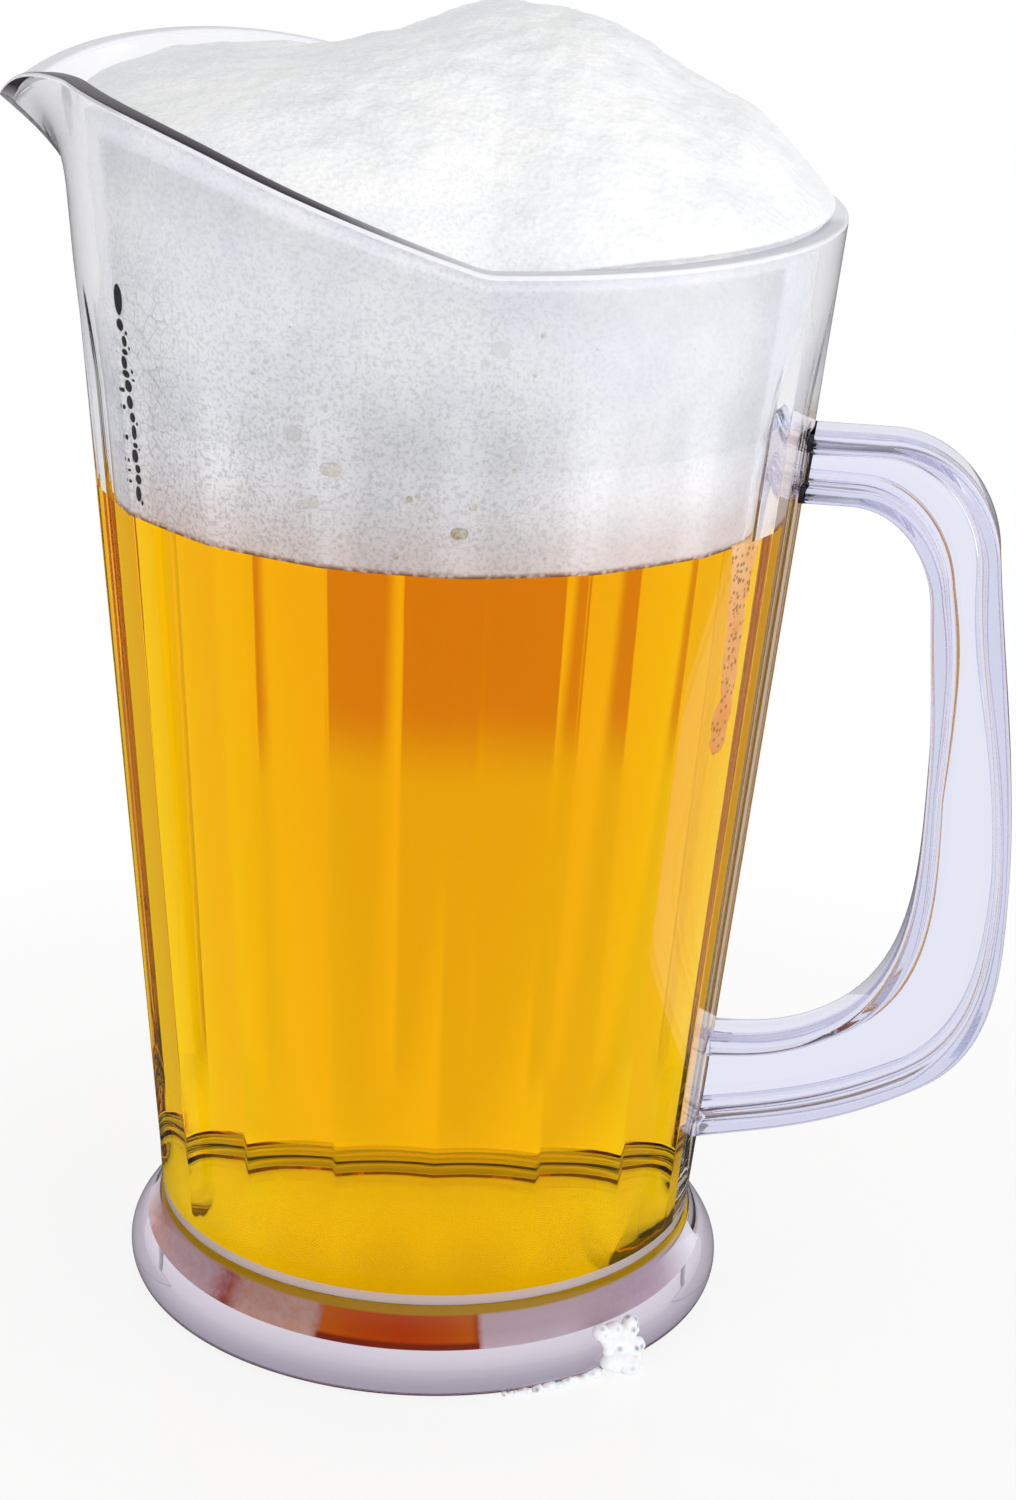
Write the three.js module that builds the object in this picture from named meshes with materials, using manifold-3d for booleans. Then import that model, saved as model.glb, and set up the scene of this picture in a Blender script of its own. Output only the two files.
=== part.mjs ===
// A clear moulded beer pitcher: tapered vessel with flat outer panels, welded foot ring, I-section handle,
// and the beer and foam that it holds. Millimetres, +Z up. The handle points along +X, the spout along -X.
// The origin lies on the table, under the middle of the overall length and width.

import * as THREE from 'three';
import { mergeVertices } from 'three/addons/utils/BufferGeometryUtils.js';
import Module from 'manifold-3d';

// Driving dimensions: vessel
const rimRadius = 70; // outer, at the level part of the rim
const rimHeight = 213.9; // level part of the rim above the table
const waistRadius = 51.9; // outer, where the vessel meets the foot
const seamHeight = 17; // weld seam between vessel and foot
const wall = 3; // at the middle of a flat panel
const panelCount = 18;
const panelFadeDepth = 34; // the panels start to round off this far below the rim
const panelTopDepth = 12; // and are fully round this far below the rim
const panelFootFade = 5; // the panels round off over this height above the seam
const floorHeight = 12.7; // inside floor above the table
const floorThickness = 3;
const innerCornerRadius = 8;
const rimRound = 0.9; // edge radius on the rim

// Driving dimensions: spout
const spoutReach = 84.5; // tip to vessel axis
const spoutTipHeight = 227.3;
const spoutCrestHeight = 235.3; // highest point of the rim beside the tip
const spoutRampStart = 14.7; // the rim leaves its level part here, towards the handle from the axis
const spoutRampSlope = 0.331;
const spoutRampBlend = 6.7; // softens the change from ramp to crest
const beakHalfAngle = 27.4; // degrees each side of the tip
const beakSharpness = 1.55;
const beakDepth = 11.5; // the beak leans out over this height
const beakSoftness = 0.75; // share of that height over which the wall bends outwards
const tipDipHalfAngle = 36.8; // degrees each side of the tip, where the rim starts to dip
const tipDipSharpness = 3.6;

// Driving dimensions: foot
const footRadius = 58.1;
const footWall = 5; // at the widest point
const footLipHeight = 4.8; // widest point above the table
const footLipRound = 3.2; // how far the lip rounds in below its widest point
const footLand = 1.3; // width of the flat ring that stands on the table
const spigotWall = 2.3; // vessel wall inside the weld seam
const weldClearance = 0.3;

// Driving dimensions: handle, as distances from the vessel axis and heights above the table
const handleReach = 108.9; // outermost point of the grip
const gripHeight = 86; // height of that point
const gripDepth = 16.8; // from the outermost point to the inner face, where the fingers close
const palmHeight = 110; // height where the inner face lies furthest out
const handleTop = 175.2;
const upperArmDepth = 12.9;
const shoulderRun = 28; // outer bend between upper arm and grip
const shoulderDrop = 21;
const gripLean = 7; // the grip leans out by this much below the shoulder
const innerShoulderRun = 18; // the same bend on the inner face
const innerShoulderDrop = 18.3;
const innerLean = 2.1;
const heelRun = 13.4; // outer bend between grip and lower arm
const heelRise = 15.1;
const innerHeelRun = 18.1;
const innerHeelRise = 3.6;
const lowerRootTop = 54.6;
const lowerRootBottom = 33.4;
const handleWidth = 12.5;
const flange = 3.5;
const web = 3.2;
const handleEdgeRound = 1.2;
const handleClearance = 0.3;

// Driving dimensions: contents
const fillHeight = 160.5; // line between beer and foam
const foamCrestHeight = 248;
const foamCrestOffset = 10; // crest to vessel axis, towards the handle
const foamFullness = 2.4; // how full the dome is near its edge
const foamDrop = 2; // foam edge below the rim
const foamSpoutDrop = 4.5; // foam edge below the crest, at the spout
const contentsClearance = 0.3; // beer to floor, and foam to beer
const contentsSideGap = 0.45; // beer and foam to the vessel's wall

// Facet counts
const segments = 72; // a multiple of the panel count
const footSegments = 60;
const beerSegments = 36;
const curveSteps = 7;

// The vessel axis, placed so that the overall length from spout tip to grip is centred on the origin.
const axisX = (spoutReach - handleReach) / 2;

const wasm = await Module();
wasm.setup();

const radians = THREE.MathUtils.degToRad;
const blend = THREE.MathUtils.lerp;
const ease = (x, from, to) => THREE.MathUtils.smoothstep(x, from, to);

// A closed solid through rings of equal point counts: flat caps close its first and last ring.
function loft(rings) {
  const count = rings[0].length;
  const points = rings.flat();
  const triangles = [];
  for (let i = 0; i + 1 < rings.length; i += 1) {
    for (let j = 0; j < count; j += 1) {
      const a = i * count + j;
      const b = i * count + ((j + 1) % count);
      triangles.push(a, b, b + count, a, b + count, a + count);
    }
  }
  const middle = (loop) => loop.reduce((sum, p) => sum.add(p), new THREE.Vector3()).divideScalar(count);
  const top = (rings.length - 1) * count;
  points.push(middle(rings[0]), middle(rings[rings.length - 1]));
  for (let j = 0; j < count; j += 1) {
    const next = (j + 1) % count;
    triangles.push(next, j, points.length - 2);
    triangles.push(top + j, top + next, points.length - 1);
  }
  const geometry = new THREE.BufferGeometry().setFromPoints(points);
  geometry.setIndex(triangles);
  return geometry;
}

// One ring round the vessel axis: radius and height are functions of the azimuth in radians.
function ring(radiusAt, heightAt) {
  const points = [];
  for (let j = 0; j < segments; j += 1) {
    const azimuth = (2 * Math.PI * j) / segments;
    const radius = radiusAt(azimuth);
    points.push(
      new THREE.Vector3(radius * Math.cos(azimuth), radius * Math.sin(azimuth), heightAt(azimuth)),
    );
  }
  return points;
}

function toSolid(geometry) {
  const bare = new THREE.BufferGeometry();
  bare.setAttribute('position', geometry.getAttribute('position'));
  bare.setIndex(geometry.getIndex());
  const merged = mergeVertices(bare, 1e-4);
  return new wasm.Manifold(
    new wasm.Mesh({
      numProp: 3,
      vertProperties: new Float32Array(merged.getAttribute('position').array),
      triVerts: new Uint32Array(merged.getIndex().array),
    }),
  );
}

function fromSolid(solid) {
  const mesh = solid.getMesh();
  const geometry = new THREE.BufferGeometry();
  geometry.setAttribute('position', new THREE.BufferAttribute(mesh.vertProperties, 3));
  geometry.setIndex(new THREE.BufferAttribute(mesh.triVerts, 1));
  return geometry;
}

// A smooth path through stations of position and heading in degrees: each stretch is one cubic curve.
function curveThrough(stations) {
  const pull = 0.38; // share of a stretch's length that each end holds its heading
  const path = new THREE.Path();
  path.moveTo(stations[0].x, stations[0].z);
  for (let i = 1; i < stations.length; i += 1) {
    const from = stations[i - 1];
    const to = stations[i];
    const hold = pull * Math.hypot(to.x - from.x, to.z - from.z);
    path.bezierCurveTo(
      from.x + hold * Math.cos(radians(from.heading)),
      from.z + hold * Math.sin(radians(from.heading)),
      to.x - hold * Math.cos(radians(to.heading)),
      to.z - hold * Math.sin(radians(to.heading)),
      to.x,
      to.z,
    );
  }
  return path.getPoints(curveSteps);
}

// Vessel surfaces

const taper = (rimRadius - waistRadius) / (rimHeight - seamHeight);
const coneRadius = (z) => waistRadius + taper * (z - seamHeight);
const panelAngle = (2 * Math.PI) / panelCount;

// Angle from the spout's middle line, 0 at the tip.
const fromSpout = (azimuth) => Math.abs(Math.PI - azimuth);

// The outside is a cone with flats, whose edges lie on the cone: one edge carries the handle, one the spout.
function panelRadius(azimuth, z) {
  const intoPanel = (azimuth % panelAngle) - panelAngle / 2;
  const flat = Math.cos(panelAngle / 2) / Math.cos(intoPanel);
  const roundAbove = ease(z, rimHeight - panelFadeDepth, rimHeight - panelTopDepth);
  const roundBelow = 1 - ease(z, seamHeight, seamHeight + panelFootFade);
  return coneRadius(z) * blend(flat, 1, Math.max(roundAbove, roundBelow));
}

function smallerOf(a, b, soft) {
  const h = Math.max(soft - Math.abs(a - b), 0) / soft;
  return Math.min(a, b) - (h * h * soft) / 4;
}

// A share that falls from 1 at the spout's tip to 0 at a half angle in degrees.
function shareAtSpout(azimuth, halfAngle, sharpness) {
  return Math.max(0, 1 - fromSpout(azimuth) / radians(halfAngle)) ** sharpness;
}

// The rim is level on the handle's half and ramps up to a crest on each side of the spout.
function rampedRimHeight(azimuth) {
  const along = rimRadius * Math.cos(azimuth);
  const ramp = Math.max(0, spoutRampSlope * (spoutRampStart - along));
  const crest = spoutCrestHeight - rimHeight;
  return rimHeight + Math.max(0, smallerOf(ramp, crest, spoutRampBlend));
}

// Between the crests the rim dips to the spout's tip.
function rimHeightAt(azimuth) {
  const dip = (spoutCrestHeight - spoutTipHeight) * shareAtSpout(azimuth, tipDipHalfAngle, tipDipSharpness);
  return rampedRimHeight(azimuth) - dip;
}

// The beak bends out from the cone in a soft curve, up to the edge of the rim.
function beakBulge(azimuth, z) {
  const edge = rimHeightAt(azimuth) - rimRound;
  const reach = spoutReach - coneRadius(spoutTipHeight - rimRound);
  const grown = -smallerOf((edge - z) / beakDepth - 1, 0, beakSoftness);
  return reach * shareAtSpout(azimuth, beakHalfAngle, beakSharpness) * grown;
}

const outerRadius = (azimuth, z) => panelRadius(azimuth, z) + beakBulge(azimuth, z);

// The inside is a plain cone, rounded into the floor.
function boreRadius(z) {
  const straight = coneRadius(z) * Math.cos(panelAngle / 2) - wall;
  const above = floorHeight + innerCornerRadius - z;
  if (above <= 0) return straight;
  const drop = Math.min(above, innerCornerRadius);
  return straight - innerCornerRadius + Math.sqrt(innerCornerRadius ** 2 - drop ** 2);
}

const innerRadius = (azimuth, z) => boreRadius(z) + beakBulge(azimuth, z);
const spigotRadius = boreRadius(seamHeight) + spigotWall;
const undersideHeight = floorHeight - floorThickness;

// Heights where the outer wall changes: foot fade, straight panels, top fade, and the band up to the rim.
function outerWallHeights() {
  const fadeStart = rimHeight - panelFadeDepth;
  const fadeEnd = rimHeight - panelTopDepth;
  const fade = [0, 0.35, 0.65, 1].map((t) => () => blend(fadeStart, fadeEnd, t));
  const foot = [0, 0.5, 1].map((t) => () => seamHeight + t * panelFootFade);
  return [...foot, ...fade, ...rimBandHeights([0.3, 0.5, 0.65, 0.8, 1])];
}

// Heights between the top of the panels and the edge of the rim, as shares of that band.
function rimBandHeights(shares) {
  const bandStart = rimHeight - panelTopDepth;
  return shares.map((t) => (azimuth) => blend(bandStart, rimHeightAt(azimuth) - rimRound, t));
}

// Rings over the rounded rim, from the outer face to the inner face.
function rimRings(outer, inner) {
  const turns = [30, 65, 115, 150].map(radians);
  return turns.map((turn) => {
    const height = (azimuth) => rimHeightAt(azimuth) - rimRound * (1 - Math.sin(turn));
    const radius = (azimuth) => {
      const edge = rimHeightAt(azimuth) - rimRound;
      const inset = rimRound * (1 - Math.abs(Math.cos(turn)));
      return turn < Math.PI / 2 ? outer(azimuth, edge) - inset : inner(azimuth, edge) + inset;
    };
    return ring(radius, height);
  });
}

function makeVessel() {
  const at = (radius, heightAt) => ring((azimuth) => radius(azimuth, heightAt(azimuth)), heightAt);
  const level = (z) => () => z;
  const underside = [
    ring(() => spigotRadius, level(undersideHeight)),
    ring(() => spigotRadius, level(seamHeight)),
  ];
  const outside = outerWallHeights().map((heightAt) => at(outerRadius, heightAt));
  const corner = [0, 30, 55, 78].map((turn) => {
    const rise = innerCornerRadius * (1 - Math.sin(radians(turn)));
    return level(floorHeight + rise);
  });
  const insideHeights = [...rimBandHeights([1, 0.8, 0.65, 0.5, 0.3, 0]), ...corner];
  const inside = insideHeights.map((heightAt) => at(innerRadius, heightAt));
  const floorEdge = ring(() => boreRadius(floorHeight), level(floorHeight));
  return loft([...underside, ...outside, ...rimRings(outerRadius, innerRadius), ...inside, floorEdge]);
}

// A solid body of the vessel's outside, grown by a clearance, for fitting pieces against the wall.
function vesselBlank(clearance) {
  const rings = outerWallHeights().map((heightAt) =>
    ring((azimuth) => outerRadius(azimuth, heightAt(azimuth)) + clearance, heightAt),
  );
  return toSolid(loft(rings));
}

// The foot ring is a bell-shaped skirt round the vessel's spigot. It rests on the table with a flat land.
function makeFootRing() {
  const top = seamHeight - weldClearance;
  const bore = spigotRadius + weldClearance;
  const innerLip = footRadius - footWall;
  const inside = curveThrough([
    { x: bore, z: undersideHeight, heading: -75 },
    { x: innerLip, z: footLipHeight, heading: -70 },
  ]);
  const outside = curveThrough([
    { x: footRadius - footLipRound, z: 0, heading: 0 },
    { x: footRadius, z: footLipHeight, heading: 90 },
    { x: waistRadius, z: top, heading: 102 },
  ]);
  const landEdge = new THREE.Vector2(footRadius - footLipRound - footLand, 0);
  const boreTop = new THREE.Vector2(bore, top);
  const profile = [boreTop, ...inside, landEdge, ...outside, boreTop.clone()];
  return new THREE.LatheGeometry(profile, footSegments).rotateX(Math.PI / 2);
}

// Handle outlines in the X-Z plane, from the wall along the upper arm, down the grip and back to the wall.
function handleOutlines() {
  const buried = waistRadius - wall; // both ends start inside the wall and are trimmed to it
  const underArm = handleTop - upperArmDepth;
  const palmReach = handleReach - gripDepth;
  const outer = curveThrough([
    { x: buried, z: handleTop, heading: 0 },
    { x: handleReach - shoulderRun, z: handleTop, heading: 0 },
    { x: handleReach - gripLean, z: handleTop - shoulderDrop, heading: -84 },
    { x: handleReach, z: gripHeight, heading: -90 },
    { x: handleReach - heelRun, z: lowerRootBottom + heelRise, heading: -149 },
    { x: buried, z: lowerRootBottom, heading: -170 },
  ]);
  const inner = curveThrough([
    { x: buried, z: underArm, heading: 0 },
    { x: palmReach - innerShoulderRun, z: underArm, heading: 0 },
    { x: palmReach - innerLean, z: underArm - innerShoulderDrop, heading: -86 },
    { x: palmReach, z: palmHeight, heading: -90 },
    { x: palmReach - innerHeelRun, z: lowerRootTop + innerHeelRise, heading: -155 },
    { x: buried, z: lowerRootTop, heading: -178 },
  ]);
  return { outer, inner };
}

// Moves each point of an open outline sideways, to the right of its direction for a positive distance.
function offsetOutline(points, distance) {
  return points.map((point, i) => {
    const before = points[Math.max(0, i - 1)];
    const after = points[Math.min(points.length - 1, i + 1)];
    const along = after.clone().sub(before).normalize();
    return new THREE.Vector2(point.x + distance * along.y, point.y - distance * along.x);
  });
}

// A plate in the X-Z plane between two outlines, centred on a Y position.
function plate(outer, inner, thickness, centreY, edgeRound) {
  const shape = new THREE.Shape([...outer, ...inner.slice().reverse()]);
  const geometry = new THREE.ExtrudeGeometry(shape, {
    depth: thickness - 2 * edgeRound,
    bevelEnabled: edgeRound > 0,
    bevelThickness: edgeRound,
    bevelSize: edgeRound,
    bevelOffset: -edgeRound,
    bevelSegments: 2,
  });
  geometry.translate(0, 0, edgeRound - thickness / 2);
  return geometry.rotateX(Math.PI / 2).translate(0, centreY, 0);
}

// The handle is a bent I-beam: two flanges joined by a web, with its ends fitted to the vessel's wall.
function makeHandle() {
  const { outer, inner } = handleOutlines();
  const pocketOuter = offsetOutline(outer, flange);
  const pocketInner = offsetOutline(inner, -flange);
  const pocketDepth = (handleWidth - web) / 2;
  let solid = toSolid(plate(outer, inner, handleWidth, 0, handleEdgeRound));
  for (const side of [-1, 1]) {
    const centreY = side * (web / 2 + pocketDepth);
    solid = solid.subtract(toSolid(plate(pocketOuter, pocketInner, 2 * pocketDepth, centreY, 0)));
  }
  return fromSolid(solid.subtract(vesselBlank(handleClearance)));
}

// The beer fills the bore up to the foam line.
function makeBeer() {
  const bottom = floorHeight + contentsClearance;
  const top = fillHeight - contentsClearance / 2;
  const cornerTop = floorHeight + innerCornerRadius;
  const heights = [0.03, 0.2, 0.5, 1].map((t) => blend(bottom, cornerTop, t));
  const profile = [new THREE.Vector2(0, bottom)];
  for (const z of [...heights, top]) {
    profile.push(new THREE.Vector2(boreRadius(z) - contentsSideGap, z));
  }
  profile.push(new THREE.Vector2(0, top));
  return new THREE.LatheGeometry(profile, beerSegments).rotateX(Math.PI / 2);
}

// The foam stands on the beer, follows the bore to its edge just below the rim, and domes up over it.
function makeFoamHead() {
  const bottom = fillHeight + contentsClearance / 2;
  const edgeHeight = (azimuth) =>
    Math.min(rampedRimHeight(azimuth) - foamDrop, spoutCrestHeight - foamSpoutDrop);
  const sideRadius = (z) => boreRadius(z) - contentsSideGap;
  const sides = [0, 0.5, 1].map((t) => {
    const heightAt = (azimuth) => blend(bottom, edgeHeight(azimuth), t);
    return ring((azimuth) => sideRadius(heightAt(azimuth)), heightAt);
  });
  const edge = sides[sides.length - 1];
  const crest = new THREE.Vector3(foamCrestOffset, 0, foamCrestHeight);
  const dome = [0.95, 0.87, 0.75, 0.6, 0.42, 0.2].map((share) =>
    edge.map((point) => {
      const lifted = crest.clone().lerp(point, share);
      lifted.z = point.z + (crest.z - point.z) * (1 - share ** foamFullness);
      return lifted;
    }),
  );
  return loft([...sides, ...dome]);
}

const clearPlastic = new THREE.MeshStandardMaterial({ color: 0xe3e5f0, roughness: 0.08, metalness: 0 });
const beerLiquid = new THREE.MeshStandardMaterial({ color: 0xecaa02, roughness: 0.05, metalness: 0 });
const beerFoam = new THREE.MeshStandardMaterial({ color: 0xf4f4f6, roughness: 0.85, metalness: 0 });

const pitcher = new THREE.Group();
pitcher.position.x = axisX;

function add(name, geometry, material) {
  const mesh = new THREE.Mesh(geometry, material.clone());
  mesh.name = name;
  pitcher.add(mesh);
}

add('vessel', makeVessel(), clearPlastic);
add('foot_ring', makeFootRing(), clearPlastic);
add('handle', makeHandle(), clearPlastic);
add('beer', makeBeer(), beerLiquid);
add('foam_head', makeFoamHead(), beerFoam);

const part = new THREE.Group();
part.add(pitcher);

export default part;
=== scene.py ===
# A clear moulded plastic pitcher, full of amber beer under a tall head of foam, on a pale floor.
# Metres, +Z up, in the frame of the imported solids: the handle points along +X and the beak along -X.

import math

import bmesh
import bpy
import numpy as np
from mathutils import Matrix, Vector, noise


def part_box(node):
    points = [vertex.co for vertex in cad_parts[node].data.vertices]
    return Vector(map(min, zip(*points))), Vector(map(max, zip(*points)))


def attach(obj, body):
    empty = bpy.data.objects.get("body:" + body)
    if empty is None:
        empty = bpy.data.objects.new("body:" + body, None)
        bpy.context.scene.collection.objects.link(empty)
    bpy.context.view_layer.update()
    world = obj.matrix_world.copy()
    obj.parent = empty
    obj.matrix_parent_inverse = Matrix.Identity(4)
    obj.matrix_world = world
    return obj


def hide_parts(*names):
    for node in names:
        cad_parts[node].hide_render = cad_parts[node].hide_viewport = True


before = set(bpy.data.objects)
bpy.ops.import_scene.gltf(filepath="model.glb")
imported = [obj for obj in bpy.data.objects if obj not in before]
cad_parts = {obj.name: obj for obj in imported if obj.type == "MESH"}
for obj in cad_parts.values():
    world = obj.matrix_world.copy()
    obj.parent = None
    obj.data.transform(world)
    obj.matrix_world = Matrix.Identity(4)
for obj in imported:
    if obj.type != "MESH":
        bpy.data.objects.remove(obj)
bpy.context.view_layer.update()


# Vessel: one injection moulding of clear styrene plastic. Outside it is a cone with eighteen flat panels
# that fade into a round rim and a round foot. Inside it is a plain round bore with a rounded floor corner.
# The rim is level on the handle's half and ramps up to a pouring beak on the other half.

rim_radius = 0.070
rim_height = 0.2139
waist_radius = 0.0519
seam_height = 0.017
wall = 0.003
panel_count = 18
panel_fade_depth = 0.034
panel_top_depth = 0.012
dulled_height = 0.0021
foot_fade_height = 0.022
floor_height = 0.0143
floor_thickness = 0.0026
inner_corner_radius = 0.003
rim_round = 0.0009
spigot_radius = 0.0495
spout_reach = 0.0845
spout_tip_height = 0.2273
spout_crest_height = 0.2353
spout_ramp_start = 0.0147
spout_ramp_slope = 0.331
spout_ramp_blend = 0.0067
beak_half_angle = math.radians(27.4)
beak_sharpness = 1.55
beak_depth = 0.0115
beak_softness = 0.75
tip_dip_half_angle = math.radians(36.8)
tip_dip_sharpness = 3.6
fill_height = 0.1605

panel_angle = 2 * math.pi / panel_count
taper = (rim_radius - waist_radius) / (rim_height - seam_height)
foot_low, foot_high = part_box("foot_ring")
axis_x = (foot_low.x + foot_high.x) / 2


def cone_radius(z):
    return waist_radius + taper * (z - seam_height)


def smaller_of(a, b, soft):
    h = np.maximum(soft - np.abs(a - b), 0) / soft
    return np.minimum(a, b) - h * h * soft / 4


def share_at_spout(azimuth, half_angle, sharpness):
    """Falls from 1 at the tip to 0 at the half angle."""
    return np.maximum(0, 1 - np.abs(math.pi - azimuth) / half_angle) ** sharpness


def ramped_rim_height(azimuth):
    ramp = np.maximum(0, spout_ramp_slope * (spout_ramp_start - rim_radius * np.cos(azimuth)))
    crest = spout_crest_height - rim_height
    return rim_height + np.maximum(0, smaller_of(ramp, crest, spout_ramp_blend))


def rim_height_at(azimuth):
    dip = share_at_spout(azimuth, tip_dip_half_angle, tip_dip_sharpness)
    return ramped_rim_height(azimuth) - (spout_crest_height - spout_tip_height) * dip


def beak_bulge(azimuth, z):
    edge = rim_height_at(azimuth) - rim_round
    reach = spout_reach - cone_radius(spout_tip_height - rim_round)
    grown = -smaller_of((edge - z) / beak_depth - 1, 0.0, beak_softness)
    return reach * share_at_spout(azimuth, beak_half_angle, beak_sharpness) * grown


def bore_radius(z):
    straight = cone_radius(z) * math.cos(panel_angle / 2) - wall
    drop = np.clip(floor_height + inner_corner_radius - z, 0, inner_corner_radius)
    return straight - inner_corner_radius + np.sqrt(inner_corner_radius**2 - drop**2)


def ring(azimuths, radius, height):
    """Points round the vessel's axis. Radius and height are numbers or one value for each azimuth."""
    level = np.broadcast_to(height, azimuths.shape)
    return np.stack([axis_x + radius * np.cos(azimuths), radius * np.sin(azimuths), level], 1)


def loft(name, rings, caps=True):
    """A mesh through rings of equal counts. Fans close its ends, or else the last ring joins the first."""
    count = len(rings[0])
    points = np.concatenate(rings)
    rows = len(rings) if not caps else len(rings) - 1
    here = np.arange(count)
    beside = np.roll(here, -1)
    faces = []
    for row in range(rows):
        low, high = row * count, (row + 1) % len(rings) * count
        faces += np.stack([low + here, low + beside, high + beside, high + here], 1).tolist()
    if caps:
        bottom, top = len(points), len(points) + 1
        last = (len(rings) - 1) * count
        points = np.vstack([points, rings[0].mean(0), rings[-1].mean(0)])
        faces += np.stack([beside, here, np.full(count, bottom)], 1).tolist()
        faces += np.stack([last + here, last + beside, np.full(count, top)], 1).tolist()
    mesh = bpy.data.meshes.new(name)
    mesh.from_pydata(points.tolist(), [], faces)
    mesh.polygons.foreach_set("use_smooth", np.ones(len(mesh.polygons), bool))
    return mesh


def add_piece(name, mesh):
    piece = bpy.data.objects.new(name, mesh)
    bpy.context.scene.collection.objects.link(piece)
    return piece


def add_node(tree, kind, inputs=None, **settings):
    """Adds one node. An input takes a value, a socket, or a node, whose first output in use is linked."""
    node = tree.nodes.new(kind)
    for key, value in settings.items():
        setattr(node, key, value)
    for key, value in (inputs or {}).items():
        if isinstance(value, bpy.types.Node):
            value = next(output for output in value.outputs if output.enabled)
        if isinstance(value, bpy.types.NodeSocket):
            tree.links.new(value, node.inputs[key])
        else:
            node.inputs[key].default_value = value
    return node


def linear(hex_colour):
    """An sRGB hex value as linear red, green, blue and alpha."""
    channels = [int(hex_colour[i : i + 2], 16) / 255 for i in (1, 3, 5)]
    return [c / 12.92 if c <= 0.04045 else ((c + 0.055) / 1.055) ** 2.4 for c in channels] + [1.0]


def new_material(name):
    material = bpy.data.materials.new(name)
    material.use_nodes = True
    material.node_tree.nodes.clear()
    return material, material.node_tree


def place_on_piece(tree):
    """Where a point of the piece lies, as one vector and as its X, Y and Z."""
    place = add_node(tree, "ShaderNodeTexCoord").outputs["Object"]
    return place, add_node(tree, "ShaderNodeSeparateXYZ", {0: place}).outputs


def lay_over(tree, colour, layers):
    """Lays shades over a colour in turn, each by the product of its shares. Returns the last mix."""
    for shade, covered, *more_shares in layers:
        for share in more_shares:
            covered = add_node(tree, "ShaderNodeMath", {0: covered, 1: share}, operation="MULTIPLY")
        layer = {"Factor": covered, "A": colour, "B": linear(shade)}
        colour = add_node(tree, "ShaderNodeMix", layer, data_type="RGBA")
    return colour


# Styrene plastic straight from a polished mould: clear with a faint violet cast, glassy, and slightly wavy
# where it cooled, so that what shows through it and in it wavers a little.
san_index = 1.57
beer_index = 1.34
ripple_width = 0.018
ripple_depth = 0.00003


def clear_plastic(name, tint, index, shine="#ffffff"):
    material, tree = new_material(name)
    place = add_node(tree, "ShaderNodeTexCoord")
    ripple = add_node(
        tree,
        "ShaderNodeTexNoise",
        {"Vector": place.outputs["Object"], "Scale": 1 / ripple_width, "Detail": 2.0},
    )
    bump = add_node(tree, "ShaderNodeBump", {"Height": ripple, "Distance": ripple_depth, "Strength": 1.0})
    gloss = add_node(
        tree,
        "ShaderNodeBsdfPrincipled",
        {
            "Base Color": linear(tint), "Roughness": 0.0, "IOR": index, "Specular Tint": linear(shine),
            "Transmission Weight": 1.0, "Normal": bump,
        },
    )
    add_node(tree, "ShaderNodeOutputMaterial", {"Surface": gloss})
    return material


moulded_san = clear_plastic("clear_styrene_plastic", "#fbfbfe", san_index)
panel_san = clear_plastic("clear_styrene_plastic_panel", "#fbfbfe", san_index, shine="#000000")
# Painted reflection: beside the handle the plastic has a beige tint, which stands for the pale band of
# reflected light along that edge.
handle_side_reflection_san = clear_plastic("clear_styrene_plastic_by_handle_painted_reflection", "#ecdccc", san_index)
wetted_san = clear_plastic("clear_styrene_plastic_wetted", "#ffffff", san_index / beer_index)
welded_san = clear_plastic("clear_styrene_plastic_welded", "#ffffff", 1.0)

# A band beside the weld, on the front half, is dulled by the heat: a pale grey band that lets only some of
# the beer through.
dulled_san, tree = new_material("clear_styrene_plastic_dulled")
dulled_skin = add_node(
    tree,
    "ShaderNodeBsdfPrincipled",
    {"Base Color": linear("#c8bfca"), "Roughness": 0.3, "IOR": san_index, "Transmission Weight": 0.35},
)
add_node(tree, "ShaderNodeOutputMaterial", {"Surface": dulled_skin})

# The rim's crest carries a painted reflection: a dusky violet line up the ramp that stands for what is dark
# in the room, faint where the rim is level and at the back.
dark_reflection_from = 0.2135
dark_reflection_to = 0.2225
dark_reflection_on_level = 0.24
dark_reflection_at_back = 0.08
front_blend = 0.006
crest_painted_reflection_san, tree = new_material("clear_styrene_plastic_crest_painted_reflection")
_, spot = place_on_piece(tree)
up_ramp = add_node(
    tree,
    "ShaderNodeMapRange",
    {"Value": spot["Z"], "From Min": dark_reflection_from, "From Max": dark_reflection_to, "To Min": dark_reflection_on_level},
)
in_front = add_node(
    tree,
    "ShaderNodeMapRange",
    {"Value": spot["Y"], "From Min": -front_blend, "From Max": 0.0, "To Min": 1.0, "To Max": dark_reflection_at_back},
)
crest_painted_dark_reflection = lay_over(tree, linear("#f0f0f8"), [("#2c2030", up_ramp, in_front)])
crest_skin = add_node(tree, "ShaderNodeBsdfPrincipled", {"Base Color": crest_painted_dark_reflection, "Roughness": 0.3})
add_node(tree, "ShaderNodeOutputMaterial", {"Surface": crest_skin})

# Beside the crest the rounded edge scatters a little, and is pale.
edge_san, tree = new_material("clear_styrene_plastic_edge")
edge_skin = add_node(
    tree,
    "ShaderNodeBsdfPrincipled",
    {"Base Color": linear("#f6f6fc"), "Roughness": 0.25, "IOR": san_index, "Transmission Weight": 0.4},
)
add_node(tree, "ShaderNodeOutputMaterial", {"Surface": edge_skin})

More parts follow.
